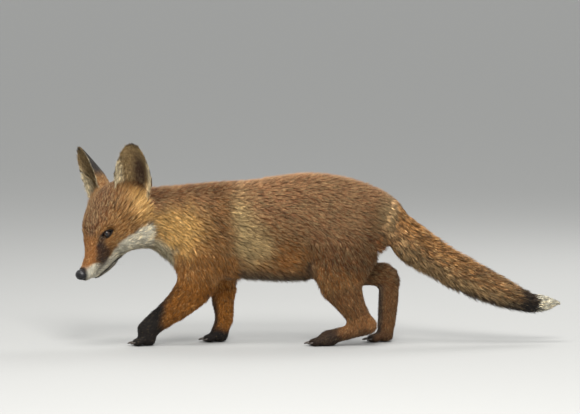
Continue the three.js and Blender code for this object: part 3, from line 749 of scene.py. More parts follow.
# %% Claw material: dark horn, worn dull
STREAKS = 900.0  # in a metre: 1.1 mm
dark_horn = new_material("dark claw horn")
here = add_node(dark_horn, "ShaderNodeTexCoord").outputs["Object"]
grain = add_node(dark_horn, "ShaderNodeTexNoise", [(here, "Vector")], Scale=STREAKS, Detail=2.0)
tone = add_node(
    dark_horn,
    "ShaderNodeValToRGB",
    [(grain.outputs["Fac"], "Fac")],
    [(0.3, "#1c1613"), (0.75, "#4a3d33")],
)
surface = add_node(
    dark_horn, "ShaderNodeBsdfPrincipled", [(tone.outputs[0], "Base Color")], Roughness=0.38, IOR=1.54
)
add_node(dark_horn, "ShaderNodeOutputMaterial", [(surface.outputs[0], "Surface")])
claws.data.materials.append(dark_horn)
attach(claws, "root")
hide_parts(*claw_nodes)
print("claws:", len(claw_nodes))

# %% [markdown]
# ## Markings
# A red fox is russet above, with white lips, cheeks and throat, black-backed ears, black on the front
# of the legs, and a brush with a dark band and a white tip. This cub still has a brown, grizzled back,
# a pale band behind the shoulder and smoky hair below. All of it is laid down like soft stencils: each
# stencil is a rounded patch, or a step along some direction, with a feathered and slightly wavy edge.
# The same function colours the skin and the root of every tuft, so the two always agree.

# %% Stencils
SHADES = {
    "back": "#af7951", "flank": "#966437", "amber": "#b57434", "haunch": "#834d21",
    "straw": "#dfc087", "shoulder": "#af7740", "ochre": "#f1be6e", "breast": "#c4823d",
    "rump": "#e8cb96", "smoke_and_shade": "#5f554b", "leg": "#b97322", "hock": "#a86f3c",
    "tail_top": "#ac7942", "tail_mid": "#9a6f43", "tail_under": "#927650", "throat": "#d2c8ae",
    "russet": "#92632e", "forehead": "#6e3d14", "muzzle": "#9a6027", "tear": "#341e12",
    "ear_inner": "#95794f", "ear_hollow": "#402215", "cream": "#ecdfbf", "white": "#e5e0cd",
    "black": "#221b18", "lip": "#1b1513",
}  # fmt: skip
# The back and the belly, as (along the body, height).
BACK_LINE = np.array([[-272, 230], [-216, 241], [-122, 248], [-14, 260], [22, 257], [56, 248], [98, 222]])
BELLY_LINE = np.array([[-272, 158], [-216, 130], [-158, 102], [-86, 96], [-14, 97], [22, 112], [98, 180]])
EAR_HEIGHT, EAR_HALF_WIDTH = 92, 31  # mm
EAR_FRAMES = {  # root, way to the tip, way that the bowl opens
    "left": ([-276, -50, 219], [0, -0.28, 0.96], [-0.28, -0.93, -0.25]),
    "right": ([-335, 13, 215], [-0.31, 0.4, 0.865], [-0.93, -0.34, -0.1]),
}


def wavy(p, size=26.0, by=3.5):
    """The same places, each pushed a little to one side, so that a stencil's edge isn't ruled."""
    turns = p @ np.array([[1.0, 0.31, 0.5], [-0.4, 1.1, 0.23], [0.27, -0.52, 0.93]]) / size * 2.6
    return p + by * (np.sin(turns) + 0.6 * np.sin(turns[:, [1, 2, 0]] * 2.3 + 1.7))


def patch(p, middle, reach, feather=0.35):
    """1 inside a rounded patch, 0 outside, with a feathered edge."""
    off = np.linalg.norm((p - np.array(middle)) / np.array(reach), axis=1)
    return fade(off, 1 + feather, 1 - feather)


def off_line(p, start, end):
    """How far these places are from a line between two places, in mm."""
    start, run = np.array(start, float), np.array(end, float) - np.array(start, float)
    t = np.clip((p - start) @ run / (run @ run), 0, 1)
    return np.linalg.norm(p - start - t[:, None] * run, axis=1)


def on_ear(p, which):
    """Places on one ear: up towards its tip and across it, as shares, and the way it opens."""
    root, tip, opens = (np.array(v, float) for v in EAR_FRAMES[which])
    tip = unit(tip)
    opens = unit(opens - tip * (opens @ tip))
    across = np.cross(tip, opens)
    if across @ left > 0:
        across = -across  # -1 is the front rim of the left ear
    return (p - root) @ tip / EAR_HEIGHT, (p - root) @ across / EAR_HALF_WIDTH, opens


class Coat:
    """The colours of some points, the share of hairs with pale tips, and with dark tips."""

    def __init__(self, count):
        self.colour = np.tile(linear(SHADES["back"]), (count, 1))
        self.pale = np.full(count, 0.32)
        self.dark = np.full(count, 0.14)

    def lay(self, where, shade, pale=None, dark=None):
        """Lays one shade over the colours, where its stencil is 1."""
        self.colour += (linear(SHADES[shade]) - self.colour) * where[:, None]
        for name, value in (("pale", pale), ("dark", dark)):
            if value is not None:
                old = getattr(self, name)
                setattr(self, name, old + (value - old) * where)


# %% Markings of the trunk, legs and tail


def mark_trunk(coat, q, n):
    """Neck, trunk and thighs. q holds places with the side as a positive number."""
    x, z = q[:, 0], q[:, 2]
    top, low = np.interp(x, *BACK_LINE.T), np.interp(x, *BELLY_LINE.T)
    high = (z - low) / (top - low)
    coat.lay(fade(high, 0.78, 0.42), "flank")
    coat.lay(patch(q, (-30, 44, 128), (85, 60, 24), 0.5), "amber", pale=0.22)
    coat.lay(patch(q, (46, 44, 150), (62, 60, 62), 0.5), "haunch", pale=0.28)
    coat.lay(0.85 * patch(q, (20, 44, 205), (60, 60, 46), 0.6), "back", pale=0.45)
    coat.lay(0.85 * patch(q, (-119, 50, 184), (18, 70, 44), 0.7), "straw", pale=0.4, dark=0.03)
    coat.lay(0.75 * patch(q, (-98, 50, 149), (22, 70, 28), 0.7), "straw", pale=0.4, dark=0.05)
    coat.lay(0.8 * patch(q, (-148, 50, 188), (20, 70, 52), 0.7), "shoulder", pale=0.22, dark=0.35)
    coat.lay(patch(q, (-186, 46, 128), (42, 60, 46), 0.5), "breast", pale=0.25)
    coat.lay(patch(q, (-208, 40, 176), (38, 70, 36), 0.6), "ochre", pale=0.2, dark=0.02)
    coat.lay(0.85 * fade(z, 214, 232) * fade(x, -120, -160), "haunch", pale=0.25, dark=0.3)
    coat.lay(0.5 * patch(q, (103, 0, 197), (14, 70, 30), 0.9), "rump", pale=0.4, dark=0.1)
    below = fade(n[:, 2], -0.55, -0.9) * fade(x, -175, -140) * fade(x, 40, 10)
    coat.lay(0.8 * below, "smoke_and_shade", pale=0.2, dark=0.3)
    # painted shade: the dark fold between the belly and the thigh, where the far thigh lies in shadow
    coat.lay(0.85 * patch(q, (-14, 30, 100), (9, 60, 26), 0.5), "smoke_and_shade", pale=0.1, dark=0.4)
    throat = fade(n @ np.array([-0.35, 0, -0.94]), 0.2, 0.6) * fade(x, -178, -205)
    coat.lay(throat, "throat", pale=0.5, dark=0.05)


def mark_legs(coat, p, n, kinds):
    """Orange legs with black fronts, dark feet, and painted shade over the far hind leg."""
    fore = np.isin(kinds, ("upper_foreleg", "forearm", "paw_front"))
    hind = np.isin(kinds, ("shank", "foot", "paw_hind"))
    x, y, z = p.T
    near = y < 0
    coat.lay(fore * fade(z, 150, 118), "breast", pale=0.15, dark=0.08)
    coat.lay(fore * fade(z, 110, 86), "leg", pale=0.08, dark=0.12)
    front = n @ unit([-0.85, 0, 0.3])
    coat.lay(0.7 * fore * near * fade(front, 0.3, 0.85) * fade(z, 100, 74), "tear", pale=0.02, dark=0.2)
    coat.lay(fore * near * fade(front, 0.1, 0.7) * fade(z, 66, 48), "black", pale=0.02, dark=0.2)
    coat.lay(0.8 * fore * ~near * fade(-n[:, 0], 0.3, 0.75) * fade(z, 84, 50), "black", pale=0.02)
    wrist = np.where(near, fade(x, -222, -240), fade(z, 34, 16))
    coat.lay(fore * wrist, "black", pale=0.03, dark=0.1)
    coat.lay(hind * 1.0, "hock", pale=0.2, dark=0.2)
    coat.lay(0.75 * (kinds == "thigh") * fade(z, 128, 98), "amber", pale=0.3)
    coat.lay(hind * fade(z, 100, 122), "flank", pale=0.3)
    # painted shade: the far hind leg lies away from the lamps, so it is darkened all over, and more on its
    # front
    coat.lay(0.35 * hind * ~near, "tear")
    coat.lay(0.75 * hind * ~near * fade(-n[:, 0], 0.2, 0.7), "smoke_and_shade", pale=0.05, dark=0.3)
    toes = np.where(near, fade(x, 26, 6), fade(x, 92, 82)) * (kinds == "paw_hind")
    instep = hind * near * fade(x, 40, 22) * fade(z, 60, 38)
    coat.lay(0.85 * np.maximum(toes, instep), "black", pale=0.04, dark=0.2)
    coat.lay(hind * fade(z, 30, 12) * 0.5, "black", pale=0.04)


def mark_tail(coat, p, n, kinds):
    """Orange above its root, grey-brown below, a dark fringe and band, and a white tip."""
    tail = np.isin(kinds, ("tail_base", "tail_brush", "tail_tip")).astype(float)
    x = p[:, 0]
    above = n[:, 2] + 0.35 * n[:, 0]
    coat.lay(tail * fade(x, 104, 118), "tail_mid", pale=0.3, dark=0.2)
    coat.lay(tail * fade(above, -0.05, 0.5) * fade(x, 290, 150) * fade(x, 104, 116), "tail_top", pale=0.2)
    coat.lay(0.7 * tail * fade(above, 0.1, -0.4) * fade(x, 104, 120), "tail_under", pale=0.45, dark=0.2)
    coat.lay(0.75 * tail * fade(above, -0.6, -0.95) * fade(x, 170, 230), "black", pale=0.05, dark=0.3)
    coat.lay(0.9 * tail * fade(x, 245, 300) * fade(above, 0.5, -0.5), "black", pale=0.06, dark=0.3)
    coat.lay(0.92 * tail * fade(x, 284, 304), "black", pale=0.05, dark=0.2)
    coat.lay(tail * fade(x, 321, 327), "white", pale=0.1, dark=0.1)


# %% Markings of the head and ears
WHITE_EDGE = np.array([  # the upper edge of white cheek and lips, as (ahead, above) on the head
    [-75, -38], [-58, -31], [-42, -21], [-28, -14], [-11, -10], [4, -11], [12, -15],
    [20, -20], [27, -22], [34, -20], [40, -11], [47, -5], [56, -4],
])  # fmt: skip
TEAR_MARKS = (  # start, end and reach of each stroke, from the eye's inner corner to the upper lip
    ((11, 20.5, 15), (19, 19, 6), 7.5),
    ((20, 18.5, 3), (32, 15, -7), 8.5),
    ((20, 19, -7), (29, 15.5, -16), 9),
)


def mark_head(coat, p, n, kinds):
    """Russet cheeks, grizzled forehead, dark tear lines, white lips and cheeks."""
    head = np.isin(kinds, ("head", "muzzle", "lower_jaw", "nose", "eye")).astype(float)
    h = on_head(p)
    h[:, 1] = np.abs(h[:, 1])
    f, s, u = h.T
    blend = head * fade(f, -78, -66)
    coat.lay(blend, "russet", pale=0.14, dark=0.06)
    coat.lay(blend * patch(h, (-28, 0, 34), (40, 27, 30), 0.4), "forehead", pale=0.3, dark=0.2)
    coat.lay(blend * patch(h, (-4, 0, 24), (22, 13, 22), 0.4), "forehead", pale=0.36, dark=0.24)
    coat.lay(0.6 * blend * patch(h, (-60, 40, -2), (24, 26, 22), 0.5), "ochre", pale=0.25)
    coat.lay(blend * fade(f, 10, 24) * fade(u, -14, -8), "muzzle", pale=0.2, dark=0.03)
    for start, end, reach in TEAR_MARKS:
        stroke = fade(off_line(h, start, end), reach + 0.5, reach - 5)
        coat.lay(0.85 * blend * stroke * fade(s, 7.5, 12.5), "tear", pale=0.05, dark=0.2)
    edge = np.interp(f, *WHITE_EDGE.T)
    low = fade(u, edge + 3, edge - 3)
    coat.lay(blend * low, "white", pale=0.2, dark=0.14)
    coat.lay(0.55 * blend * low * fade(n @ up, -0.1, -0.7) * fade(f, 30, 0), "throat", pale=0.3)
    whisker = patch(h, (37, 13, -19), (13, 8, 5), 0.5)
    coat.lay(0.5 * blend * whisker, "smoke_and_shade", dark=0.4)
    below = off_mouth(p)
    coat.lay(0.6 * blend * (kinds == "lower_jaw") * fade(below, 0.5, 2.5), "smoke_and_shade", pale=0.1, dark=0.4)
    coat.lay(blend * fade(f, 2, 8) * fade(np.abs(below), 2.2, 1.0), "lip", pale=0)
    coat.lay(head * patch(h, (64, 0, -7), (9, 10, 10), 0.2), "lip", pale=0)


def mark_ears(coat, p, n, kinds):
    """Black backs and rims, tan inside with a dark hollow and cream hair along the edges."""
    for which in SIDES:
        ear = (kinds == "ear") * ((p[:, 1] < -18) if which == "left" else (p[:, 1] >= -18))
        high, across, opens = on_ear(p, which)
        inner = fade(n @ opens, 0.4, 0.66)
        edge = fade(np.abs(across), 0.55, 0.8)
        coat.lay(ear * 1.0, "russet", pale=0.2, dark=0.1)
        coat.lay(ear * (1 - inner) * fade(high, 0.22, 0.42), "black", pale=0.0, dark=0.3)
        coat.lay(ear * inner, "ear_inner", pale=0.3, dark=0.15)
        coat.lay(ear * fade(high, 0.27, 0.1), "flank", pale=0.4, dark=0.05)
        coat.lay(ear * inner * fade(across, -0.35, -0.75) * fade(high, 0.5, 0.2) * 0.7, "ochre", pale=0.3)
        hollow = patch(np.stack([high, across, 0 * high], 1), (0.37, -0.2, 0), (0.34, 0.38, 1), 0.6)
        coat.lay(0.95 * ear * inner * hollow, "ear_hollow", pale=0.15, dark=0.2)
        coat.lay(0.8 * ear * inner * edge * fade(high, 0.85, 0.6), "cream", pale=0.5, dark=0.0)
        coat.lay(ear * fade(high, 0.86, 0.95) * (1 - 0.4 * inner), "black", pale=0.0, dark=0.3)


# %% All markings together


def markings(p, n, parts):
    """The coat's colours at places on the body, from their normals and the parts they lie on."""
    kinds = np.array([kind_of(name) for name in parts])
    coat = Coat(len(p))
    wavy_p = wavy(p)
    mark_trunk(coat, wavy_p * np.array([1, 0, 1]) + np.abs(wavy_p) * np.array([0, 1, 0]), n)
    mark_legs(coat, wavy_p, n, kinds)
    mark_tail(coat, wavy_p, n, kinds)
    mark_head(coat, wavy(p, 14.0, 0.9), n, kinds)
    mark_ears(coat, wavy(p, 12.0, 0.8), n, kinds)
    for which in SIDES:
        away, x, y, z = seen_by_eye(p, which)
        lids = fade(beyond_opening(x, y, DARK_RIM), 0.5, -0.7) * (z > -3) * (away < 17)
        coat.lay(lids, "lip", pale=0, dark=0)
    return coat


# %% Colour the skin
UNDERCOAT_AND_SHADE = 0.62  # the skin and the down over it are this much darker than the hair above: partly the down's own grey, partly painted shade in the gaps between the tufts


def colour_points(piece, colours):
    """Stores one colour per point, for the material to read."""
    store = piece.data.color_attributes.new("coat_colour", "FLOAT_COLOR", "POINT")
    full = np.concatenate([colours, np.ones((len(colours), 1))], axis=1)
    store.data.foreach_set("color", full.astype(np.float32).ravel())


p = in_mm(points_of(skin))
under = markings(p, normals_of(skin), parts_near(points_of(skin)))
# painted shade: the skin is darkened under the tufts, partly for the grey down and partly for the shade
# between them
colour_points(skin, under.colour * UNDERCOAT_AND_SHADE)
print("mean skin colour", under.colour.mean(0).round(3))

# %% [markdown]
# ## Where the hair grows and how it lies
# Hair points away from the nose over the head, back and down along the trunk, down the legs and out
# along the tail. Each part gets one direction, the directions are blurred over the skin and laid flat
# against it. The hair's length, width and number per square millimetre come from a table: long and
# loose on the brush, a couple of centimetres on the trunk, a few millimetres on the face and feet.

# %% Tables of the coat's lie and of its hair
LIE = {
    "neck": (0.9, 0, -0.42), "chest": (0.84, 0, -0.5), "belly": (0.93, 0, -0.32), "hips": (0.88, 0, -0.42),
    "upper_foreleg_left": (0.35, 0, -0.9), "upper_foreleg_right": (0.5, 0, -0.85),
    "forearm_left": (-0.69, 0, -0.72), "forearm_right": (0.02, 0, -1),
    "thigh_left": (0.42, 0, -0.9), "thigh_right": (0.42, 0, -0.9),
    "shank_left": (0.42, 0, -0.9), "shank_right": (0.95, 0, -0.3),
    "foot_left": (-0.2, 0, -0.95), "foot_right": (0.05, 0, -1),
    "paw_front_left": (-0.85, 0, -0.5), "paw_front_right": (-0.6, 0, -0.7),
    "paw_hind_left": (-0.85, 0, -0.4), "paw_hind_right": (-0.6, 0, -0.7),
    "ear_left": (0, -0.28, 0.96), "ear_right": (-0.31, 0.4, 0.865),
}  # fmt: skip
HAIR = {  # length mm, width mm, tufts per square mm
    "head": (8.0, 0.66, 1.25), "muzzle": (4.2, 0.5, 1.8), "lower_jaw": (4.5, 0.5, 1.8),
    "neck": (13.5, 0.9, 0.95), "chest": (14, 0.9, 0.9), "belly": (14, 0.9, 0.9),
    "hips": (13.5, 0.9, 0.92), "tail_base": (19, 1.05, 0.62), "tail_brush": (27, 1.15, 0.72),
    "tail_tip": (21, 1.0, 1.5), "ear": (5.0, 0.55, 1.2), "upper_foreleg": (10.5, 0.85, 0.95),
    "forearm": (7.0, 0.75, 1.05), "thigh": (12, 0.88, 0.95), "shank": (8.5, 0.78, 1.0),
    "foot": (5.6, 0.66, 1.15), "paw_front": (4.4, 0.58, 1.2), "paw_hind": (4.4, 0.58, 1.2),
    "eye": (2.4, 0.4, 1.2), "nose": (2.5, 0.42, 1.0),
}  # fmt: skip

# %% How far the coat rises from the skin
TAIL_FRINGE, BELLY_FRINGE, EAR_FRINGE = 5, 3.5, 4.5  # mm that this hair stands out further
coat_points = in_mm(points_of(full_skin))
rise = blurred(np.linalg.norm(coat_outside - coat_points, axis=1), 6)
bare_normals = unit(blurred(normals_of(full_skin), 2))
along = coat_points[:, 0]
on_tail = np.char.startswith(part, "tail")
fringe = fade(bare_normals[:, 2], 0.1, -0.7) * fade(along, 96, 135) * fade(along, 290, 230)
belly_fringe = np.isin(part, ("chest", "belly")) * fade(bare_normals[:, 2], -0.3, -0.85)
tail_rise = TAIL_FRINGE * fringe - 0.15 * rise * fade(along, 150, 100)
rise = blurred(rise + on_tail * tail_rise + BELLY_FRINGE * belly_fringe, 4)
ear_tuft = np.zeros(POINTS)  # the long pale hair inside the ear, and the cheek's hair over its root
for which in SIDES:
    high, across, opens = on_ear(coat_points, which)
    mine = (part == f"ear_{which}") * fade(bare_normals @ opens, 0, 0.4)
    ear_tuft = np.maximum(ear_tuft, mine * np.maximum(fade(across, 0.25, 0.7), fade(high, 0.3, 0.1)))
    root = np.array(EAR_FRAMES[which][0], float) + 8 * opens
    by_ear = fade(np.linalg.norm(coat_points - root, axis=1), 36, 20)
    ear_tuft = np.maximum(ear_tuft, 2.2 * (part == "head") * by_ear)
ear_tuft = blurred(ear_tuft, 3)
rise = rise + EAR_FRINGE * ear_tuft
print("the coat rises", rise.min().round(1), "to", rise.max().round(1), "mm")

# %% Which way the hair lies
lie = np.zeros((POINTS, 3))
for name in PARTS:
    here = part == name
    if name in LIE:
        lie[here] = LIE[name]
    elif name.startswith("tail"):
        lie[here] = tail_way(coat_points[here, 0])
    else:
        lie[here] = unit(coat_points[here] - head_place(68, 0, -8))
lie = blurred(lie, 26)
lie -= bare_normals * (lie * bare_normals).sum(1, keepdims=True)
lie = unit(lie)
print("mean lie:", lie.mean(0).round(2))

# %% How long, wide and close the hair is
NOSE_MIDDLE = (66, 0, -6)  # on the head
SOLE = 1.2  # mm over the floor: no hair grows lower
TAIL_HAIR = ([98, 130, 190, 250, 318, 338, 350], [15, 21, 25, 27, 24, 18, 14])  # along the body, length
hair_length, hair_width, hair_count = (
    blurred(per_part({kind: row[k] for kind, row in HAIR.items()}), 10) for k in range(3)
)
tail_length = np.interp(along, *TAIL_HAIR)
ruff = (part == "head") * fade(on_head(coat_points)[:, 0], -15, -45) * fade(coat_points[:, 2], 205, 175)
hair_length = blurred(np.where(on_tail, tail_length, hair_length) + 5 * belly_fringe + 4 * ruff, 4)
hair_length += 7 * ear_tuft
grows = np.ones(POINTS)  # 0 on the lids' edges, where no hair grows
for which in SIDES:
    away, x, y, z = seen_by_eye(coat_points, which)
    off_lids = np.where((z > 0) & (away < 14), beyond_opening(x, y), 99)
    grows = np.minimum(grows, fade(off_lids, 1.0, 1.8))
    hair_length *= 0.45 + 0.55 * fade(off_lids, 1, 9)
to_nose = np.linalg.norm(on_head(coat_points) - NOSE_MIDDLE, axis=1)
hair_length *= 0.5 + 0.5 * fade(to_nose, 10, 24)
hair_count = hair_count * grows * fade(to_nose, 8.5, 10.5) * (coat_points[:, 2] > SOLE)
print("hair length from", hair_length.min().round(1), "to", hair_length.max().round(1), "mm")

# %% [markdown]
# ## The coat, piece by piece
# The coat is cut into pieces that a maker could handle one at a time: face, crown, ears, neck, chest,
# flank, rump, thighs, legs, root of the tail and brush. Particle hair would be quicker to set up, but
# it doesn't come out as a mesh, so every tuft is built as one closed little spike that leaves the skin
# at a slant. The long hair of the tail gets a waist half way, so that it can bend back along the skin.
# Roots are spread over each piece's share of the skin in proportion to area and number.

# %% The skin as triangles, and the piece that each belongs to
face_corners = np.empty(len(full_skin.data.loops), dtype=np.int64)
full_skin.data.loops.foreach_get("vertex_index", face_corners)
face_size = np.empty(len(full_skin.data.polygons), dtype=np.int64)
full_skin.data.polygons.foreach_get("loop_total", face_size)
face_start = np.concatenate([[0], np.cumsum(face_size)[:-1]])
corner = [face_corners[face_start + k] for k in range(3)]
fourth = face_size == 4
corner_4 = face_corners[face_start[fourth] + 3]
triangles = np.concatenate(
    [np.stack(corner, 1), np.stack([corner[0][fourth], corner[2][fourth], corner_4], 1)]
)
A, B, C = (coat_points[triangles[:, k]] for k in range(3))
triangle_area = 0.5 * np.linalg.norm(np.cross(B - A, C - A), axis=1)
print("skin area", round(triangle_area.sum() / 100), "square cm in", len(triangles), "triangles")

PIECE_OF = {
    "muzzle": "face", "lower_jaw": "face", "nose": "face", "eye": "face", "head": "crown",
    "ear": "ears", "neck": "neck", "chest": "chest", "belly": "flank", "hips": "rump",
    "tail_base": "tail_root", "tail_brush": "brush", "tail_tip": "brush",
    "upper_foreleg": "forelegs", "forearm": "forelegs", "paw_front": "forelegs",
    "thigh": "thighs", "shank": "hind_legs", "foot": "hind_legs", "paw_hind": "hind_legs",
}  # fmt: skip
SLOT_OF = {
    "face": "pale_fur", "crown": "russet_fur", "ears": "dark_fur", "neck": "russet_fur",
    "chest": "russet_fur", "flank": "grey_brown_fur", "rump": "grey_brown_fur",
    "tail_root": "grey_brown_fur", "brush": "dark_fur", "forelegs": "russet_fur",
    "thighs": "grey_brown_fur", "hind_legs": "russet_fur",
}  # fmt: skip
piece_of_point = np.array([PIECE_OF[kind_of(name)] for name in part])
piece_of_triangle = piece_of_point[triangles[:, 0]]

# %% Roots, each with a place on the map
rng = np.random.default_rng(11)


def unwrap(chosen):
    """A map of part of the skin: for each of its triangles, the three corners' places on the map."""
    used, local = np.unique(triangles[chosen], return_inverse=True)
    sheet = bpy.data.meshes.new("sheet")
    sheet.from_pydata(in_frame(coat_points[used]).tolist(), [], local.reshape(-1, 3).tolist())
    flat_skin = new_object("sheet", sheet)
    pick(flat_skin)
    bpy.ops.object.mode_set(mode="EDIT")
    bpy.ops.mesh.select_all(action="SELECT")
    bpy.ops.uv.smart_project(angle_limit=math.radians(66), island_margin=0.004)
    bpy.ops.object.mode_set(mode="OBJECT")
    flat = np.empty(len(sheet.loops) * 2)
    sheet.uv_layers.active.data.foreach_get("uv", flat)
    bpy.data.objects.remove(flat_skin)
    return flat.reshape(-1, 3, 2)


def spread_roots(chosen):
    """Roots over the chosen triangles: the corners round each, its share of them, its map place."""
    index = np.flatnonzero(chosen)
    want = triangle_area[index] * hair_count[triangles[index]].mean(1)
    count = int(want.sum())
    steps = (np.arange(count) + rng.random(count)) / count * want.sum()
    picked = np.minimum(np.searchsorted(np.cumsum(want), steps), len(index) - 1)
    share = rng.random((count, 2))
    share = np.where(share.sum(1, keepdims=True) > 1, 1 - share, share)
    share = np.concatenate([1 - share.sum(1, keepdims=True), share], axis=1)
    map_place = (unwrap(chosen)[picked] * share[:, :, None]).sum(1)
    return triangles[index][picked], share, map_place


# %% [markdown]
# ## Locks and tones
# Fur looks dappled because a dozen or so hairs lean together into a lock and share a tone. One hair in
# each lock leads, and the tips of the others are drawn towards its tip. Each hair is dark at the root,
# partly for the grey down at its base and partly as painted shade deep in the coat; it takes the colour
# of the markings half way, and ends pale, dark or plain, as a guard hair does.

# %% Tips that gather, and the tones of hair
LOCK, GATHER = 13, 0.62  # hairs in a lock, about, and how far their tips move together
LOCK_SPREAD, HAIR_SPREAD = 0.27, 0.36  # how much tones differ from lock to lock, and within one
GREY_DOWN, PALE_TIP = linear("#55483d"), linear("#e3c993")
LIGHTNESS = np.array([0.21, 0.72, 0.07])  # how much the eye counts red, green and blue


def gather_tips(root, tip, length):
    """Each hair's lock, the number of locks, and each tip's way towards that of its lock."""
    leads = np.flatnonzero(rng.random(len(root)) < 1 / LOCK)
    tree = KDTree(len(leads))
    for k, lead in enumerate(leads):
        tree.insert(root[lead], k)
    tree.balance()
    lock = np.array([tree.find(p)[1] for p in root])
    gather = (GATHER * np.clip(length / 12, 0.3, 1))[:, None]
    return lock, len(leads), (tip[leads][lock] - tip) * gather


def hair_tones(coat, lock, locks):
    """The colours of hairs at the root, half way and at the tip."""
    chance = rng.random(len(lock))
    pale, dark = (chance < coat.pale)[:, None], (chance > 1 - coat.dark)[:, None]
    lock_tone = rng.normal(0, LOCK_SPREAD, locks)[lock]
    bright = np.exp(rng.normal(0, HAIR_SPREAD, len(lock)) + lock_tone)[:, None]
    tone = coat.colour * bright
    sandy = PALE_TIP * (tone @ LIGHTNESS)[:, None] / (PALE_TIP @ LIGHTNESS)
    tone += (sandy - tone) * 0.5 * fade(bright, 1.35, 2.4)  # a bright hair is sandy, not orange
    tip = np.where(pale, tone * 0.3 + PALE_TIP * 0.72, tone * 1.12)
    tip = np.where(dark, tone * 0.3, tip)
    # the dark root is partly the grey down at a hair's base and partly painted shade deep in the coat
    return tone * 0.46 + GREY_DOWN * 0.12, np.where(dark, tone * 0.55, tone), tip


# %% [markdown]
# ## Tufts as a mesh
# A straight tuft has three points on the skin and one at its tip, so four triangles close it, and a
# bent one has three points more half way. All tufts of a piece go into one mesh at once, because
# hundreds of thousands of primitives would take hours. For baking, each tuft keeps a small patch of
# the map at its root's place on an unwrap of the skin.

# %% One mesh for all tufts of a piece
PATCH = 0.003  # a tuft's share of the map, from side to side


def tuft_mesh(name, points, colours, map_place):
    """A piece of coat, from each tuft's rings of three points and its tip."""
    count, per = points.shape[:2]
    bent = per > 4
    faces = [(0, 1, 2)]
    for a, b in ((0, 1), (1, 2), (2, 0)):
        if bent:
            faces += [(b, a, a + 3), (b, a + 3, b + 3), (b + 3, a + 3, 6)]
        else:
            faces.append((b, a, 3))
    faces = np.array(faces)
    total = count * len(faces)
    corners = (faces.ravel()[None, :] + (np.arange(count) * per)[:, None]).ravel()
    mesh = bpy.data.meshes.new(name)
    mesh.vertices.add(count * per)
    mesh.vertices.foreach_set("co", in_frame(points.reshape(-1, 3)).astype(np.float32).ravel())
    mesh.loops.add(len(corners))
    mesh.loops.foreach_set("vertex_index", corners.astype(np.int32))
    mesh.polygons.add(total)
    mesh.polygons.foreach_set("loop_start", np.arange(0, total * 3, 3, dtype=np.int32))
    mesh.polygons.foreach_set("loop_total", np.full(total, 3, dtype=np.int32))
    mesh.polygons.foreach_set("use_smooth", np.ones(total, dtype=bool))
    mesh.update(calc_edges=True)
    patch_u = np.array([-0.4, 0.4, 0.0] * (2 if bent else 1) + [0.0])
    patch_v = np.array([-0.5] * 3 + ([0.0] * 3 if bent else []) + [0.5])
    on_map = map_place[:, None, :] + PATCH * np.stack([patch_u, patch_v], -1)
    layer = mesh.uv_layers.new(name="OFBake")
    layer.data.foreach_set(
        "uv", np.clip(on_map.reshape(-1, 2), 0, 1)[corners].astype(np.float32).ravel()
    )
    piece = new_object(name, mesh)
    colour_points(piece, np.stack(colours, 1).reshape(-1, 3))
    print(name, count, "tufts,", total, "triangles")
    return piece


# %% Grow one piece of coat
BENT_HAIR = ("coat_tail", "coat_brush")  # long loose hair, whose tufts need a waist
BRUSH_POINT = ([312, 330, 345, 366], [90, 24, 14, 3.5])  # along the body, most mm off the tail's line
ROOT_SINK = 0.5  # mm that a tuft's root goes into the skin
LOWEST = 0.2  # mm: hair under the paws is pressed flat by the ground


def close_brush(points):
    """Holds the last hairs of the brush within an outline that closes to a point."""
    core = tail_core(points[..., 0])
    off = np.linalg.norm(points - core, axis=-1, keepdims=True)
    most = np.interp(points[..., 0], *BRUSH_POINT)[..., None]
    most = most * rng.uniform(0.5, 1.0, (len(points), 1, 1))
    points = core + (points - core) * np.minimum(1, most / np.maximum(off, 0.01))
    points[..., 0] = np.minimum(points[..., 0], BRUSH_POINT[0][-1])
    return points


def grow(name, chosen):
    """One piece of coat, with a closed spike for every tuft that roots in the chosen triangles."""
    corners, share, map_place = spread_roots(chosen)
    count = len(corners)

    def here(field):
        """A field's value at each root, from the corners round it."""
        values = field[corners]
        return (values * share.reshape(count, 3, *[1] * (values.ndim - 2))).sum(1)

    root, normal, way = here(coat_points), unit(here(bare_normals)), here(lie)
    swing = rng.normal(0, 0.17, count)[:, None]
    way = unit(way + np.cross(normal, way) * swing - normal * (way * normal).sum(1, keepdims=True))
    across = np.cross(normal, way)
    length = here(hair_length) * rng.uniform(0.72, 1.2, count)
    width = here(hair_width) * rng.uniform(0.75, 1.25, count)
    height = here(rise) * rng.uniform(0.45, 1.08, count)
    steep = np.clip(height / (0.6 * length), 0.1, 0.85)
    droop = 0.4 * steep

    def on_hair(t):
        """Places on the hairs' middle lines, at this share of their length."""
        run = np.sqrt(1 - np.minimum(steep, 0.9) ** 2) * t
        return root + length[:, None] * (
            way * run[:, None] + normal * (steep * t - droop * t * t)[:, None]
        )

    lock, locks, pull = gather_tips(root, on_hair(1.0), length)
    pull -= normal * (pull * normal).sum(1, keepdims=True)

    def ring(t, wide):
        """A three-sided section: two sides on the skin and a ridge above."""
        middle, half = on_hair(t) + pull * t * t, (width * wide / 2)[:, None]
        return [middle - across * half, middle + across * half, middle + normal * half * 0.7]

    base, middle, tip = hair_tones(markings(root, normal, part[corners[:, 0]]), lock, locks)
    rings, colours = [point - normal * ROOT_SINK for point in ring(0, 0.8)], [base] * 3
    if name.startswith(BENT_HAIR):
        rings, colours = rings + ring(0.5, 1.0), colours + [middle] * 3
    points = np.stack([*rings, on_hair(1.0) + pull], 1)
    points[..., 2] = np.maximum(points[..., 2], LOWEST)
    if name == "coat_brush":
        points = close_brush(points)
    return tuft_mesh(name, points, [*colours, tip], map_place)


# %% Grow the whole coat
coat_pieces = {}
for name in sorted(set(PIECE_OF.values())):
    coat_pieces[f"coat_{name}"] = (grow(f"coat_{name}", piece_of_triangle == name), SLOT_OF[name])
print("pieces of coat:", len(coat_pieces))

# %% [markdown]
# ## Whiskers
# A fox has rows of stiff black whiskers on its upper lip. Each is a thin curve that leaves the skin
# outwards and back, droops a little and ends in a point. The curves get a round section and are turned
# into one mesh.

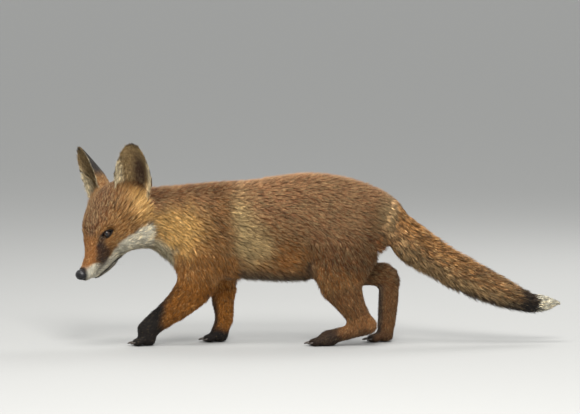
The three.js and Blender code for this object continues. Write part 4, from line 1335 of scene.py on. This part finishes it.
# %% Draw the whiskers
WHISKER_RADIUS = 0.22  # mm at the root
LONGEST, SHORTER = 40, 5.5  # mm of the hindmost whiskers, and less for each column ahead of them
POINTS_EACH = 8
paths = bpy.data.curves.new("whiskers", "CURVE")
paths.dimensions = "3D"
paths.bevel_depth = WHISKER_RADIUS * MM
paths.bevel_resolution = 1
paths.use_fill_caps = True
lip_tree = KDTree(POINTS)
for k, p in enumerate(coat_points):
    lip_tree.insert(p, k)
lip_tree.balance()
for row in range(3):
    for column in range(5):
        for mirror in (1, -1):
            start = head_place(32 + 4 * column + row, 16 * mirror, -10 - 4.5 * row)
            root = coat_points[lip_tree.find(start)[1]]
            reach = rng.uniform(0.85, 1.1) * (LONGEST - SHORTER * column)
            leave = np.array([-0.55, (0.75 + 0.05 * row) * mirror, -0.05 - 0.12 * row])
            leave = unit(leave @ HEAD_AXES)
            spline = paths.splines.new("POLY")
            spline.points.add(POINTS_EACH - 1)
            for step, point in enumerate(spline.points):
                t = step / (POINTS_EACH - 1)
                place = root + leave * reach * t + np.array([0, 0, -0.16 * reach * t * t])
                point.co = (*in_frame(place), 1)
                point.radius = 1.02 - t
whiskers = new_object("whiskers", paths)
pick(whiskers)
bpy.ops.object.convert(target="MESH")
whiskers = bpy.context.object
stiff_hair = new_material("stiff black whisker")
surface = add_node(
    stiff_hair, "ShaderNodeBsdfPrincipled", Base_Color=rgba("#1b1614"), Roughness=0.45
)
add_node(stiff_hair, "ShaderNodeOutputMaterial", [(surface.outputs[0], "Surface")])
whiskers.data.materials.append(stiff_hair)
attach(whiskers, "root")
print("whiskers:", len(whiskers.data.polygons), "faces")

# %% [markdown]
# ## Fur and skin
# Both materials read the colour that was stored on the points. Hair scatters light softly with a dull
# shine along its length, so it gets a high roughness and a weak specular. A fine noise breaks up each
# tuft into strands. The skin between the tufts is matt and covered by short down, drawn as bump.

# %% Fur material


def coat_colour(material, scale, detail, stops):
    """The colour stored on the points, broken up by a fine noise, and that noise."""
    stored = add_node(material, "ShaderNodeAttribute", attribute_name="coat_colour")
    here = add_node(material, "ShaderNodeTexCoord").outputs["Object"]
    noise = add_node(
        material, "ShaderNodeTexNoise", [(here, "Vector")], Scale=scale, Detail=detail
    ).outputs["Fac"]
    shade = add_node(material, "ShaderNodeValToRGB", [(noise, "Fac")], stops)
    mixed = add_node(
        material,
        "ShaderNodeMix",
        [(stored.outputs["Color"], 6), (shade.outputs["Color"], 7)],
        data_type="RGBA",
        blend_type="MULTIPLY",
    )
    mixed.inputs[0].default_value = 1.0
    return mixed.outputs[2], noise


fur = new_material("dry guard hair")
STRANDS = 700.0  # in a metre: 1.4 mm, coarser than real hairs, so that they show
stranded = coat_colour(fur, STRANDS, 3.0, [(0.3, "#d2d2d2"), (0.7, "#ffffff")])[0]
surface = add_node(
    fur,
    "ShaderNodeBsdfPrincipled",
    [(stranded, "Base Color")],
    Roughness=0.62,
    Specular_IOR_Level=0.35,
)
add_node(fur, "ShaderNodeOutputMaterial", [(surface.outputs[0], "Surface")])
for piece, slot in coat_pieces.values():
    piece.data.materials.append(fur)
    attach(piece, "root")

# %% Skin material
down = new_material("skin under short down")
FUZZ = 900.0  # in a metre: 1.1 mm
downy, fuzz = coat_colour(down, FUZZ, 4.0, [(0.3, "#b4b4b4"), (0.75, "#ffffff")])
bump = add_node(down, "ShaderNodeBump", [(fuzz, "Height")], Strength=0.6, Distance=0.0006)
surface = add_node(
    down,
    "ShaderNodeBsdfPrincipled",
    [(downy, "Base Color"), (bump.outputs[0], "Normal")],
    Roughness=0.8,
    Specular_IOR_Level=0.25,
)
add_node(down, "ShaderNodeOutputMaterial", [(surface.outputs[0], "Surface")])
skin.data.materials.append(down)
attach(skin, "root")
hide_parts(*FLESH)

# %% [markdown]
# ## The closed skin
# The closed copy of the skin, which the coat grew on, is no longer needed and is removed.

# %% Remove the closed skin
bpy.data.objects.remove(full_skin)
